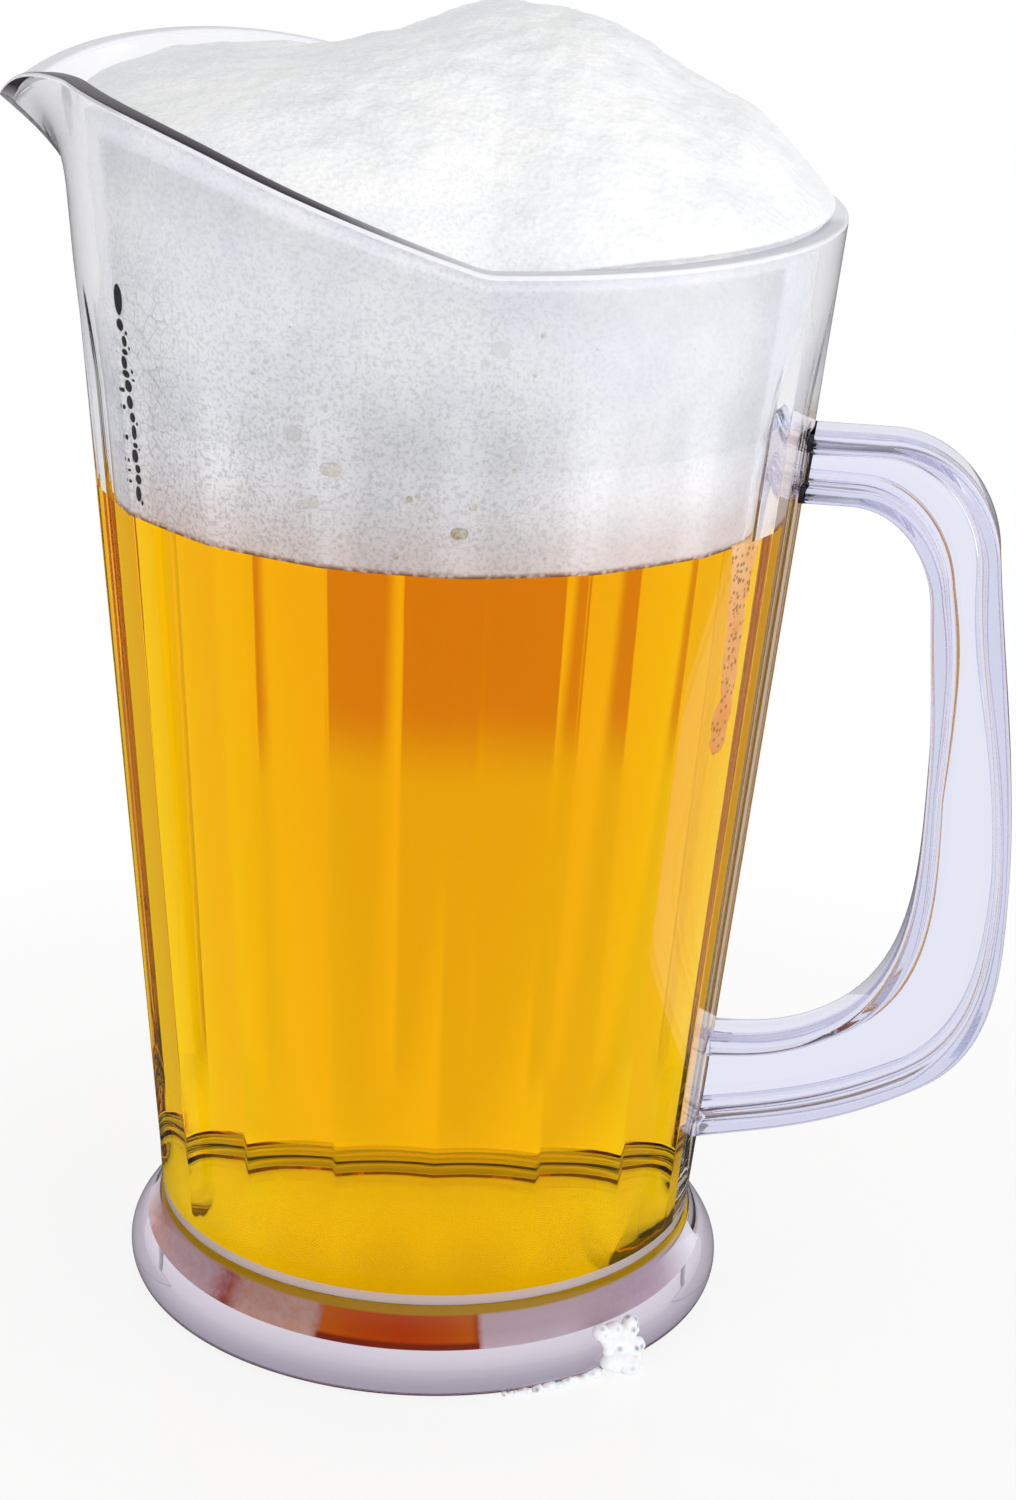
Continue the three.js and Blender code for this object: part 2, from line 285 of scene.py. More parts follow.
# Columns crowd at each panel's edge, so that the edge keeps its small moulded radius.
panel_steps = np.radians([0, 0.4, 1.2, 2.9, 4.6, 6.4, 8.2, 10, 11.8, 13.6, 15.4, 17.1, 18.8, 19.6])
vessel_columns = (np.arange(panel_count)[:, None] * panel_angle + panel_steps).ravel()

fade_start = rim_height - panel_fade_depth
fade_end = rim_height - panel_top_depth
underside_height = floor_height - floor_thickness
rim_edge = rim_height_at(vessel_columns) - rim_round

round_up_to = seam_height + dulled_height
flat_from = seam_height + foot_fade_height
flat_rows_from = 0.044
flat_rows = 17
foot_levels = [seam_height, *np.linspace(round_up_to, flat_from, 9)]
rim_band = [fade_end + (rim_edge - fade_end) * share for share in np.linspace(0, 1, 19)]
corner_top = floor_height + inner_corner_radius
corner_turns = np.radians(np.linspace(0, 90, 12)[1:])
rows_above_foam = 3


def level_rows(heights):
    return [np.full_like(vessel_columns, z) for z in heights]


outer_levels = level_rows(foot_levels)
outer_levels += level_rows(np.linspace(flat_rows_from, fade_start, flat_rows))
outer_levels += level_rows(np.linspace(fade_start, fade_end, 15)[1:])
outer_levels += rim_band[1:]
inner_levels = rim_band[::-1]
inner_levels += level_rows(np.linspace(fade_end, fill_height, 9)[1:])
wet_row = len(inner_levels)
inner_levels += level_rows(np.linspace(fill_height, corner_top, 22)[1:])
inner_levels += level_rows(corner_top - inner_corner_radius * np.sin(corner_turns))

vessel_rings = [
    ring(vessel_columns, spigot_radius, underside_height),
    ring(vessel_columns, spigot_radius, seam_height),
]
first_outer_row = len(vessel_rings)
for z in outer_levels:
    vessel_rings.append(ring(vessel_columns, cone_radius(z) + beak_bulge(vessel_columns, z), z))
last_outer_row = len(vessel_rings)
for turn in np.radians(np.linspace(0, 180, 15)[1:-1]):
    inset = rim_round * (1 - abs(math.cos(turn)))
    outer_edge = cone_radius(rim_edge) + beak_bulge(vessel_columns, rim_edge) - inset
    inner_edge = bore_radius(rim_edge) + beak_bulge(vessel_columns, rim_edge) + inset
    edge_radius = outer_edge if turn < math.pi / 2 else inner_edge
    vessel_rings.append(ring(vessel_columns, edge_radius, rim_edge + rim_round * math.sin(turn)))
first_inner_row = len(vessel_rings)
first_foam_row = len(vessel_rings) + rows_above_foam
first_wet_row = len(vessel_rings) + wet_row
for z in inner_levels:
    vessel_rings.append(ring(vessel_columns, bore_radius(z) + beak_bulge(vessel_columns, z), z))

vessel_mesh = loft("vessel_shell", vessel_rings)
column_count = len(vessel_columns)
outside = vessel_mesh.attributes.new("outside", "FLOAT", "POINT")
point_row = np.arange(len(vessel_mesh.vertices)) // column_count
on_outside = (point_row >= first_outer_row) & (point_row < last_outer_row)
outside.data.foreach_set("value", on_outside.astype(np.float32))

# Beer wets the floor and the wall up to the foam. The foam clings to the wall in front and at the back, and
# has come away from it beside the handle and the beak.
clinging_from = math.radians(27)
clinging_to = math.radians(143)
face_number = np.arange(len(vessel_mesh.polygons))
face_row = face_number // column_count
wall_rows = len(vessel_rings) - 1
floor_fan = face_number >= (wall_rows + 1) * column_count
narrow_half_column = math.radians(0.2)
face_column = vessel_columns[face_number % column_count] + narrow_half_column
off_handle = np.minimum(face_column, 2 * math.pi - face_column)
clinging_face = (off_handle > clinging_from) & (off_handle < clinging_to)
by_beer = (face_row >= first_wet_row - 1) & (face_row < wall_rows)
by_foam = (face_row >= first_foam_row) & (face_row < first_wet_row - 1) & clinging_face
beside_handle = math.radians(12)
by_handle = by_beer & (face_row < wall_rows - len(corner_turns)) & (off_handle < beside_handle)
panel_rows = len(foot_levels) + flat_rows - 1
on_panel = (face_row >= first_outer_row) & (face_row < first_outer_row + panel_rows)
on_collar = (face_row == first_outer_row) & (face_column > math.pi)
on_handle_panels = on_panel & (off_handle < panel_angle)
on_edge = (face_row >= last_outer_row - 1) & (face_row < first_inner_row)
crest_from_row, crest_to_row = last_outer_row + 3, last_outer_row + 9
on_crest = (face_row >= crest_from_row) & (face_row < crest_to_row)
finishes = {
    "wetted": (by_beer | by_foam | floor_fan, wetted_san),
    "by_handle": (by_handle, handle_side_reflection_san),
    "panelled": (on_panel, panel_san),
    "on_handle_panels": (on_handle_panels, handle_side_reflection_san),
    "dulled": (on_collar, dulled_san),
    "edged": (on_edge, edge_san),
    "painted_reflection_crested": (on_crest, crest_painted_reflection_san),
    "welded": (face_row < first_outer_row, welded_san),
}
for label, (faces, _) in finishes.items():
    vessel_mesh.attributes.new(label, "FLOAT", "FACE").data.foreach_set("value", faces.astype(np.float32))
vessel_blank = add_piece("vessel_blank", vessel_mesh)


def new_rule(name, sizes):
    """A Geometry Nodes tree with one named input for each size. Returns the tree and its inputs."""
    tree = bpy.data.node_groups.new(name, "GeometryNodeTree")
    tree.interface.new_socket("Geometry", in_out="INPUT", socket_type="NodeSocketGeometry")
    for label in sizes:
        tree.interface.new_socket(label, in_out="INPUT", socket_type="NodeSocketFloat")
    tree.interface.new_socket("Geometry", in_out="OUTPUT", socket_type="NodeSocketGeometry")
    return tree, add_node(tree, "NodeGroupInput").outputs


def make_by_rule(blank, tree, sizes, name):
    """Runs a tree on a blank with its sizes, and returns the result as a plain piece."""
    rule = blank.modifiers.new(tree.name, "NODES")
    rule.node_group = tree
    inputs = [item for item in tree.interface.items_tree if item.in_out == "INPUT"]
    identifiers = {item.name: item.identifier for item in inputs}
    for label, value in sizes.items():
        rule[identifiers[label]] = value
    depsgraph = bpy.context.evaluated_depsgraph_get()
    mesh = bpy.data.meshes.new_from_object(blank.evaluated_get(depsgraph), depsgraph=depsgraph)
    mesh.name = name
    bpy.data.objects.remove(blank)
    return add_piece(name, mesh)


# The flats: each point of the outer wall moves in to the chord between its panel's two edges, and the flats
# ease off to the round near the rim and the foot.
flat_sizes = {
    "Axis X": axis_x,
    "Panel Angle": panel_angle,
    "Fade Start": fade_start,
    "Fade End": fade_end,
    "Round Up To": round_up_to,
    "Flat From": flat_from,
}
flats, size_of = new_rule("eighteen_flats", flat_sizes)
position = add_node(flats, "GeometryNodeInputPosition")
split = add_node(flats, "ShaderNodeSeparateXYZ", {0: position})
from_axis = add_node(
    flats, "ShaderNodeMath", {0: split.outputs["X"], 1: size_of["Axis X"]}, operation="SUBTRACT"
)
bearing = add_node(flats, "ShaderNodeMath", {0: split.outputs["Y"], 1: from_axis}, operation="ARCTAN2")
within = add_node(
    flats, "ShaderNodeMath", {0: bearing, 1: size_of["Panel Angle"]}, operation="FLOORED_MODULO"
)
half_panel = add_node(flats, "ShaderNodeMath", {0: size_of["Panel Angle"], 1: 0.5}, operation="MULTIPLY")
off_middle = add_node(flats, "ShaderNodeMath", {0: within, 1: half_panel}, operation="SUBTRACT")
chord = add_node(flats, "ShaderNodeMath", {0: half_panel}, operation="COSINE")
slant = add_node(flats, "ShaderNodeMath", {0: off_middle}, operation="COSINE")
flatness = add_node(flats, "ShaderNodeMath", {0: chord, 1: slant}, operation="DIVIDE")
round_above = add_node(
    flats,
    "ShaderNodeMapRange",
    {"Value": split.outputs["Z"], "From Min": size_of["Fade Start"], "From Max": size_of["Fade End"]},
    interpolation_type="SMOOTHSTEP",
)
flat_above = add_node(
    flats,
    "ShaderNodeMapRange",
    {"Value": split.outputs["Z"], "From Min": size_of["Round Up To"], "From Max": size_of["Flat From"]},
    interpolation_type="SMOOTHSTEP",
)
round_below = add_node(flats, "ShaderNodeMath", {0: 1.0, 1: flat_above}, operation="SUBTRACT")
roundness = add_node(flats, "ShaderNodeMath", {0: round_above, 1: round_below}, operation="MAXIMUM")
shrink = add_node(flats, "ShaderNodeMix", {"Factor": roundness, "A": flatness, "B": 1.0}, data_type="FLOAT")
new_from_axis = add_node(flats, "ShaderNodeMath", {0: from_axis, 1: shrink}, operation="MULTIPLY")
new_x = add_node(flats, "ShaderNodeMath", {0: new_from_axis, 1: size_of["Axis X"]}, operation="ADD")
new_y = add_node(flats, "ShaderNodeMath", {0: split.outputs["Y"], 1: shrink}, operation="MULTIPLY")
moved_to = add_node(flats, "ShaderNodeCombineXYZ", {"X": new_x, "Y": new_y, "Z": split.outputs["Z"]})
outside_only = add_node(flats, "GeometryNodeInputNamedAttribute", {"Name": "outside"}, data_type="FLOAT")
flattened = add_node(
    flats,
    "GeometryNodeSetPosition",
    {"Geometry": size_of["Geometry"], "Selection": outside_only, "Position": moved_to},
)
realized = add_node(flats, "GeometryNodeRealizeInstances", {"Geometry": flattened})
finished = add_node(flats, "GeometryNodeSetMaterial", {"Geometry": realized, "Material": moulded_san})
for label, (_, material) in finishes.items():
    chosen = add_node(flats, "GeometryNodeInputNamedAttribute", {"Name": label}, data_type="FLOAT")
    finished = add_node(
        flats, "GeometryNodeSetMaterial", {"Geometry": finished, "Selection": chosen, "Material": material}
    )
add_node(flats, "NodeGroupOutput", {"Geometry": finished})

vessel = make_by_rule(vessel_blank, flats, flat_sizes, "vessel_shell")
corner_limit = math.radians(40)
vessel.data.set_sharp_from_angle(angle=corner_limit)
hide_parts("vessel")
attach(vessel, "root")


# Foot ring: a bell-shaped skirt moulded in the same plastic and welded round the vessel's spigot at the
# seam. Its rounded lip stands on the table.

foot_radius = 0.0581
foot_wall = 0.005
foot_lip_height = 0.0048
foot_lip_round = 0.0032
foot_land = 0.0013
weld_gap = 0.0003
foot_columns = np.linspace(0, 2 * math.pi, 180, endpoint=False)


def curve_through(stations, steps):
    """Points on cubic curves through stations of across, up and heading in degrees."""
    pull = 0.38
    shares = np.linspace(0, 1, steps + 1)[:, None]
    points = [np.array([stations[0][:2]])]
    for (x0, z0, heading0), (x1, z1, heading1) in zip(stations, stations[1:]):
        hold = pull * math.hypot(x1 - x0, z1 - z0)
        a, d = np.array([x0, z0]), np.array([x1, z1])
        b = a + hold * np.array([math.cos(math.radians(heading0)), math.sin(math.radians(heading0))])
        c = d - hold * np.array([math.cos(math.radians(heading1)), math.sin(math.radians(heading1))])
        t = shares[1:]
        points.append((1 - t) ** 3 * a + 3 * (1 - t) ** 2 * t * b + 3 * (1 - t) * t**2 * c + t**3 * d)
    return np.concatenate(points)


foot_bore = spigot_radius + weld_gap
inner_lip = foot_radius - foot_wall
foot_inside = curve_through([(foot_bore, underside_height, -75), (inner_lip, foot_lip_height, -70)], 18)
foot_outside = curve_through(
    [
        (foot_radius - foot_lip_round, 0.0, 0),
        (foot_radius, foot_lip_height, 90),
        (waist_radius, seam_height - weld_gap, 102),
    ],
    18,
)
foot_top = [(foot_bore, seam_height - weld_gap)]
land_edge = [(foot_radius - foot_lip_round - foot_land, 0.0)]
foot_profile = np.concatenate([foot_top, foot_inside, land_edge, foot_outside])

# The skirt itself is the same clear plastic with a greyer cast, which deepens in its thick lip.
lip_shade_from = 0.0030
lip_shade_to = 0.0085
foot_san = clear_plastic("clear_styrene_plastic_foot", "#dcd5e1", san_index, shine="#a8a8a8")
tree = foot_san.node_tree
foot_gloss = next(node for node in tree.nodes if node.type == "BSDF_PRINCIPLED")
_, spot = place_on_piece(tree)
above_lip = add_node(
    tree, "ShaderNodeMapRange", {"Value": spot["Z"], "From Min": lip_shade_from, "From Max": lip_shade_to}
)
foot_tint = lay_over(tree, linear("#a69dad"), [("#dcd5e1", above_lip)])
tree.links.new(foot_tint.outputs["Result"], foot_gloss.inputs["Base Color"])

# The bond between the skirt and the spigot is cloudy, and the beer's light behind it is painted on as its
# colour: a glowing orange patch in the middle, speckled rose and mauve beside it, and an olive line along
# its top. It clears towards the sides, and the far half of the bond is as clear as the plastic.
bond_bottom = 0.0072
patch_line_from = 0.0079
patch_line_to = 0.0085
olive_from = 0.0134
olive_to = 0.0140
clear_from = math.radians(68)
clear_to = math.radians(86)
bond_painted_beer_light, tree = new_material("clouded_weld_painted_beer_light")
place, spot = place_on_piece(tree)
from_axis = add_node(tree, "ShaderNodeMath", {0: spot["X"], 1: axis_x}, operation="SUBTRACT")
bearing = add_node(tree, "ShaderNodeMath", {0: spot["Y"], 1: from_axis}, operation="ARCTAN2")
turn = add_node(tree, "ShaderNodeMapRange", {"Value": bearing, "From Min": -math.pi, "From Max": math.pi})
painted_beer_light_bands = add_node(tree, "ShaderNodeValToRGB", {"Fac": turn})

# Bearing in degrees, and the painted colour of the bond there: the beer's light seen through it.
painted_beer_light_stops = [
    (-180, "#f0e6ee"),
    (-160, "#f0b096"),
    (-150, "#e8c4c4"),
    (-133, "#dcc0c4"),
    (-127, "#c05450"),
    (-122, "#e4b49e"),
    (-104.5, "#e8bca0"),
    (-103.2, "#a03810"),
    (-102.6, "#f07c10"),
    (-96, "#e86404"),
    (-86, "#e25400"),
    (-77, "#e86404"),
    (-70.6, "#f07c10"),
    (-70.0, "#a03810"),
    (-69.2, "#ecdde4"),
    (-48, "#ecdfe8"),
    (-30, "#e0c8da"),
    (-10, "#f0ecf6"),
    (180, "#f0e6ee"),
]
stops = painted_beer_light_bands.color_ramp.elements
stops.remove(stops[1])
stops[0].position = 0.0
stops[0].color = linear(painted_beer_light_stops[0][1])
for degrees, colour in painted_beer_light_stops[1:]:
    stops.new((degrees + 180) / 360).color = linear(colour)
speckle_width = 0.0016
speckle = add_node(
    tree,
    "ShaderNodeTexNoise",
    {"Vector": place, "Scale": 1 / speckle_width, "Detail": 3.0, "Roughness": 0.7},
)
speckle_range = add_node(
    tree, "ShaderNodeMapRange", {"Value": speckle, "From Min": 0.4, "From Max": 0.75, "To Max": 0.55}
)
vivid = add_node(tree, "ShaderNodeSeparateColor", {"Color": painted_beer_light_bands.outputs["Color"]}, mode="HSV")
plain = add_node(
    tree,
    "ShaderNodeMapRange",
    {"Value": vivid.outputs["Green"], "From Min": 0.6, "From Max": 0.9, "To Min": 1.0, "To Max": 0.0},
)
patch_line = add_node(
    tree,
    "ShaderNodeMapRange",
    {
        "Value": spot["Z"], "From Min": patch_line_from, "From Max": patch_line_to, "To Min": 1.0,
        "To Max": 0.0,
    },
)
on_patch = add_node(tree, "ShaderNodeMath", {0: 1.0, 1: plain}, operation="SUBTRACT")
top_line = add_node(
    tree, "ShaderNodeMapRange", {"Value": spot["Z"], "From Min": olive_from, "From Max": olive_to}
)
# Painted beer light: pale speckles, a dark red-brown line along the patch's foot, and an olive line along
# the top.
painted_beer_light_layers = [("#ece6ee", speckle_range, plain), ("#983410", patch_line, on_patch), ("#dcb81c", top_line)]
bond_painted_beer_light_colour = lay_over(tree, painted_beer_light_bands.outputs["Color"], painted_beer_light_layers)
from_front = add_node(tree, "ShaderNodeMath", {0: bearing, 1: math.pi / 2}, operation="ADD")
off_front = add_node(tree, "ShaderNodeMath", {0: from_front}, operation="ABSOLUTE")
clearing = add_node(
    tree, "ShaderNodeMapRange", {"Value": off_front, "From Min": clear_from, "From Max": clear_to}
)
bond_skin = add_node(
    tree,
    "ShaderNodeBsdfPrincipled",
    {
        "Base Color": bond_painted_beer_light_colour, "Roughness": 0.6, "IOR": 1.0, "Transmission Weight": clearing,
        "Specular IOR Level": 0.0,
    },
)
add_node(tree, "ShaderNodeOutputMaterial", {"Surface": bond_skin})

foot_mesh = loft("foot_skirt", [ring(foot_columns, r, z) for r, z in foot_profile], caps=False)
foot_mesh.set_sharp_from_angle(angle=corner_limit)
for material in (foot_san, bond_painted_beer_light, welded_san):
    foot_mesh.materials.append(material)
foot_faces = np.arange(len(foot_mesh.polygons))
foot_rows = foot_faces // len(foot_columns)
row_heights = np.array(foot_profile)[:, 1]
on_weld = (foot_rows == 0) | (foot_rows == len(foot_profile) - 1)
near_weld = (foot_rows <= len(foot_inside)) & (row_heights[foot_rows] > bond_bottom)
in_front = foot_columns[foot_faces % len(foot_columns)] > math.pi
foot_finish = np.where((on_weld | near_weld) & in_front, 1, np.where(on_weld, 2, 0))
foot_mesh.polygons.foreach_set("material_index", foot_finish.astype(np.int32))
foot = add_piece("foot_skirt", foot_mesh)
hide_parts("foot_ring")
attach(foot, "root")


# Handle: a loop of I-section moulded in the same plastic. Two rounded flanges run along its inner and outer
# faces, joined by a web, and both ends are welded to one of the vessel's panel edges.

handle_reach = 0.1089
grip_height = 0.086
palm_reach = 0.0921
palm_height = 0.110
handle_top = 0.1752
under_arm = 0.1623
lower_root_top = 0.0546
lower_root_bottom = 0.0334
handle_width = 0.0125
flange = 0.0035
web = 0.0032
flange_round = 0.0013
web_fillet = 0.0022
shoulder_run, shoulder_drop = 0.028, 0.021
grip_lean = 0.007
heel_run, heel_rise = 0.0134, 0.0151
palm_shoulder_run, palm_shoulder_drop = 0.018, 0.0183
palm_lean = 0.0021
palm_heel_run, palm_heel_rise = 0.0181, 0.0036
weld_clearance = 0.0003
least_stand_off = 0.001
path_steps = 22
arc_steps = 6

buried = waist_radius - wall
handle_outer = curve_through(
    [
        (buried, handle_top, 0),
        (handle_reach - shoulder_run, handle_top, 0),
        (handle_reach - grip_lean, handle_top - shoulder_drop, -84),
        (handle_reach, grip_height, -90),
        (handle_reach - heel_run, lower_root_bottom + heel_rise, -149),
        (buried, lower_root_bottom, -170),
    ],
    path_steps,
)
handle_inner = curve_through(
    [
        (buried, under_arm, 0),
        (palm_reach - palm_shoulder_run, under_arm, 0),
        (palm_reach - palm_lean, under_arm - palm_shoulder_drop, -86),
        (palm_reach, palm_height, -90),
        (palm_reach - palm_heel_run, lower_root_top + palm_heel_rise, -155),
        (buried, lower_root_top, -178),
    ],
    path_steps,
)


def arc(centre, radius, start, end):
    turns = np.radians(np.linspace(start, end, arc_steps))
    return np.stack([centre[0] + radius * np.cos(turns), centre[1] + radius * np.sin(turns)], 1)


def beam_section(depth):
    """The I-section's outline: across from the inner to the outer face, and sideways from its middle."""
    side = handle_width / 2
    right_half = [
        arc((depth - flange_round, side - flange_round), flange_round, 0, 90),
        arc((depth - flange + flange_round, side - flange_round), flange_round, 90, 180),
        arc((depth - flange - web_fillet, web / 2 + web_fillet), web_fillet, 0, -90),
        arc((flange + web_fillet, web / 2 + web_fillet), web_fillet, -90, -180),
        arc((flange - flange_round, side - flange_round), flange_round, 0, 90),
        arc((flange_round, side - flange_round), flange_round, 90, 180),
    ]
    half = np.concatenate(right_half)
    return np.concatenate([half, half[::-1] * [1, -1]])


def handle_ring(inner, outer):
    across = outer - inner
    depth = np.linalg.norm(across)
    section = beam_section(depth)
    in_plane = inner + section[:, :1] * across / depth
    return np.stack([in_plane[:, 0], section[:, 1], in_plane[:, 1]], 1)


def clear_of_wall(points):
    """How far each point of the handle stands off the panel edge that carries it."""
    wall_face = cone_radius(points[:, 2]) - np.abs(points[:, 1]) * math.tan(panel_angle / 2)
    return points[:, 0] - wall_face - weld_clearance


# The same plastic in a thick bar, where its violet cast deepens with the depth.
thick_san, tree = new_material("clear_styrene_plastic_bar")
bar_skin = add_node(
    tree,
    "ShaderNodeBsdfPrincipled",
    {"Base Color": linear("#f1f3ff"), "Roughness": 0.04, "IOR": san_index, "Transmission Weight": 1.0},
)
bar_depth = add_node(tree, "ShaderNodeVolumeAbsorption", {"Color": linear("#8a86c2"), "Density": 26.0})
add_node(tree, "ShaderNodeOutputMaterial", {"Surface": bar_skin, "Volume": bar_depth.outputs["Volume"]})

handle_rings = [handle_ring(a, b) for a, b in zip(handle_inner, handle_outer)]
free_rings = [points for points in handle_rings if clear_of_wall(points).min() > least_stand_off]


def weld_end(near, beyond):
    """The ring where the arm meets the wall: each point runs on along the arm until it reaches it."""
    end = near.copy()
    along = near - beyond
    for _ in range(4):
        end -= along * (clear_of_wall(end) / along[:, 0])[:, None]
    return end


upper_weld = weld_end(free_rings[0], free_rings[1])
lower_weld = weld_end(free_rings[-1], free_rings[-2])
handle_rings = [points + [axis_x, 0, 0] for points in (upper_weld, *free_rings, lower_weld)]
handle_mesh = loft("handle_loop", handle_rings, caps=False)
section_count = len(handle_rings[0])
handle_builder = bmesh.new()
handle_builder.from_mesh(handle_mesh)
handle_builder.faces.ensure_lookup_table()
closing_faces = handle_builder.faces[(len(handle_rings) - 1) * section_count :]
bmesh.ops.delete(handle_builder, geom=closing_faces, context="FACES_ONLY")
handle_builder.verts.ensure_lookup_table()
for start in (0, (len(handle_rings) - 1) * section_count):
    end_cap = handle_builder.faces.new(handle_builder.verts[start : start + section_count])
    bmesh.ops.triangulate(handle_builder, faces=[end_cap])
bmesh.ops.recalc_face_normals(handle_builder, faces=handle_builder.faces)
handle_builder.to_mesh(handle_mesh)
handle_builder.free()
handle_mesh.set_sharp_from_angle(angle=corner_limit)
handle_mesh.materials.append(thick_san)
handle = add_piece("handle_loop", handle_mesh)
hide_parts("handle")
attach(handle, "root")


# Weld line: the joint round the handle's upper root, drawn as a thin dark skin of painted shade, widest at
# the flanges' edges.

# Painted shade: near black, so that the joint shows as a dark line.
painted_shade_weld, tree = new_material("dark_weld_painted_shade")
weld_shade_skin = add_node(tree, "ShaderNodeBsdfPrincipled", {"Base Color": linear("#0e0a14"), "Roughness": 0.5})
add_node(tree, "ShaderNodeOutputMaterial", {"Surface": weld_shade_skin})

weld_width = 0.0010
weld_depth = 0.0002
upper_end = handle_rings[0]
along_arm = handle_rings[1] - upper_end
along_arm /= np.linalg.norm(along_arm, axis=1)[:, None]
sideways = upper_end[:, 1:2] / (handle_width / 2)
far_edge = upper_end + along_arm * weld_width * np.abs(sideways) ** 0.5
outwards = np.sign(sideways) * [[0, weld_depth, 0]]
weld_rings = [upper_end + outwards, far_edge + outwards, far_edge - outwards, upper_end - outwards]
weld_mesh = loft("weld_line", weld_rings, caps=False)
weld_mesh.materials.append(painted_shade_weld)
weld = add_piece("weld_line", weld_mesh)
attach(weld, "root")


# Beer: amber lager that fills the bore from the floor to the foam. It wets the plastic, so the step in
# index is on the vessel's wetted faces, and its own skin bends nothing: only its depth gives the colour.

contents_gap = 0.0003
contents_side_gap = 0.00045
beer_columns = np.linspace(0, 2 * math.pi, 144, endpoint=False)
absorbed_per_metre = 160.0

lager, tree = new_material("amber_lager")
skin = add_node(
    tree,
    "ShaderNodeBsdfPrincipled",
    {"Base Color": linear("#ffffff"), "Roughness": 0.0, "IOR": 1.0, "Transmission Weight": 1.0},
)
depth_colour = add_node(
    tree, "ShaderNodeVolumeAbsorption", {"Color": linear("#fef900"), "Density": absorbed_per_metre}
)
add_node(tree, "ShaderNodeOutputMaterial", {"Surface": skin, "Volume": depth_colour.outputs["Volume"]})

beer_top = fill_height - contents_gap / 2
beer_turns = np.radians(np.linspace(4, 90, 12))
beer_corner = corner_top - (inner_corner_radius - contents_gap) * np.cos(beer_turns)
beer_levels = np.concatenate([beer_corner, np.linspace(beer_corner[-1], beer_top, 12)[1:]])
beer_rings = [ring(beer_columns, float(bore_radius(z)) - contents_side_gap, z) for z in beer_levels]
beer_mesh = loft("beer_body", beer_rings)
beer_mesh.set_sharp_from_angle(angle=corner_limit)
beer_mesh.materials.append(lager)
beer = add_piece("beer_body", beer_mesh)
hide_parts("beer")
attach(beer, "root")


# Foam head: the froth that stands on the beer, pressed against the bore up to the rim and piled up over it
# in soft swells. Its bubbles are small, so it is white all through.

foam_crest_height = 0.2434
foam_crest_offset = 0.010
foam_fullness = 2.4
foam_drop = 0.002
foam_spout_drop = 0.0045
foam_columns = np.linspace(0, 2 * math.pi, 360, endpoint=False)

# Across the dome lie ridges and dips, given by their place along X, half width and height.
swells = [
    (-0.045, 0.016, -0.0012),
    (-0.028, 0.014, -0.0040),
    (-0.012, 0.012, -0.0011),
    (0.004, 0.012, 0.0029),
    (0.022, 0.012, 0.0028),
    (0.040, 0.010, -0.0016),
    (0.055, 0.010, 0.0010),
]
swell_middle = 0.020
swell_length = 0.045

# Lumps of the froth by width and height. They fade out near the edge of the dome.
lumps = ((0.016, 0.0010), (0.006, 0.0006), (0.0028, 0.0003))
lump_slice = 0.3
settled_share = 0.12

# Towards the handle the froth bulges over the rim: steps outwards and upwards from the edge of its wall.
# Elsewhere each step only draws in and rises a little.
bulge_steps = [(0.0001, 0.0025), (0.0013, 0.00275), (0.0020, 0.0030), (0.0021, 0.0036), (0.0016, 0.0044)]
drawn_in = 0.0002
raised = 0.00015
bulge_to = math.radians(80)
bulge_full = math.radians(50)

# Fresh froth: white and matt, with a grain of fine bubbles, drawn coarse enough to show, and painted shade:
# greyer in a band across its middle, between the beak's side and the handle's side, most low down. Near its
# foot it is pinker with the beer that drains through it, and a brown fizz edges it. Towards the beak its
# cells have grown, and their walls show as fine lines.
froth, tree = new_material("beer_froth")
place, spot = place_on_piece(tree)
fine_bubble = 0.0012
coarse_bubble = 0.0034
grain_width = 0.0007
mottle_width = 0.022
grown_cell = 0.0036
fine_cells = add_node(tree, "ShaderNodeTexVoronoi", {"Vector": place, "Scale": 1 / fine_bubble})
coarse_cells = add_node(tree, "ShaderNodeTexVoronoi", {"Vector": place, "Scale": 1 / coarse_bubble})
cell_walls = add_node(
    tree, "ShaderNodeTexVoronoi", {"Vector": place, "Scale": 1 / grown_cell}, feature="DISTANCE_TO_EDGE"
)
mottle = add_node(
    tree,
    "ShaderNodeTexNoise",
    {"Vector": place, "Scale": 1 / mottle_width, "Detail": 4.0, "Roughness": 0.65},
)
grain = add_node(
    tree, "ShaderNodeTexNoise", {"Vector": place, "Scale": 1 / grain_width, "Detail": 2.0, "Roughness": 0.7}
)

# How much each mark shows: what it follows, where that starts and ends, and the share at both.
marks = {
    "mottle": (mottle.outputs["Fac"], 0.35, 0.65, 0.0, 1.0),
    "grain": (grain.outputs["Fac"], 0.46, 0.66, 0.0, 0.6),
    "grain_up": (spot["Z"], 0.170, 0.220, 1.0, 0.3),
    "cell_wall": (cell_walls.outputs["Distance"], 0.015, 0.05, 0.3, 0.0),
    "under_ramp": (spot["Z"], 0.200, 0.209, 1.0, 0.0),
    "fizz": (fine_cells.outputs["Distance"], 0.2, 0.6, 0.0, 1.0),
    "fizz_up": (spot["Z"], fill_height + 0.0002, fill_height + 0.0011, 1.0, 0.0),
    "shade_from_beak": (spot["X"], -0.042, -0.018, 0.0, 1.0),
    "shade_to_handle": (spot["X"], 0.003, 0.023, 1.0, 0.0),
    "shade_up": (spot["Z"], 0.178, 0.214, 0.36, 0.0),
}
share_of = {}
for mark, (followed, start, end, first, last) in marks.items():
    spread = {"Value": followed, "From Min": start, "From Max": end, "To Min": first, "To Max": last}
    share_of[mark] = add_node(tree, "ShaderNodeMapRange", spread)
drained_height = 0.018
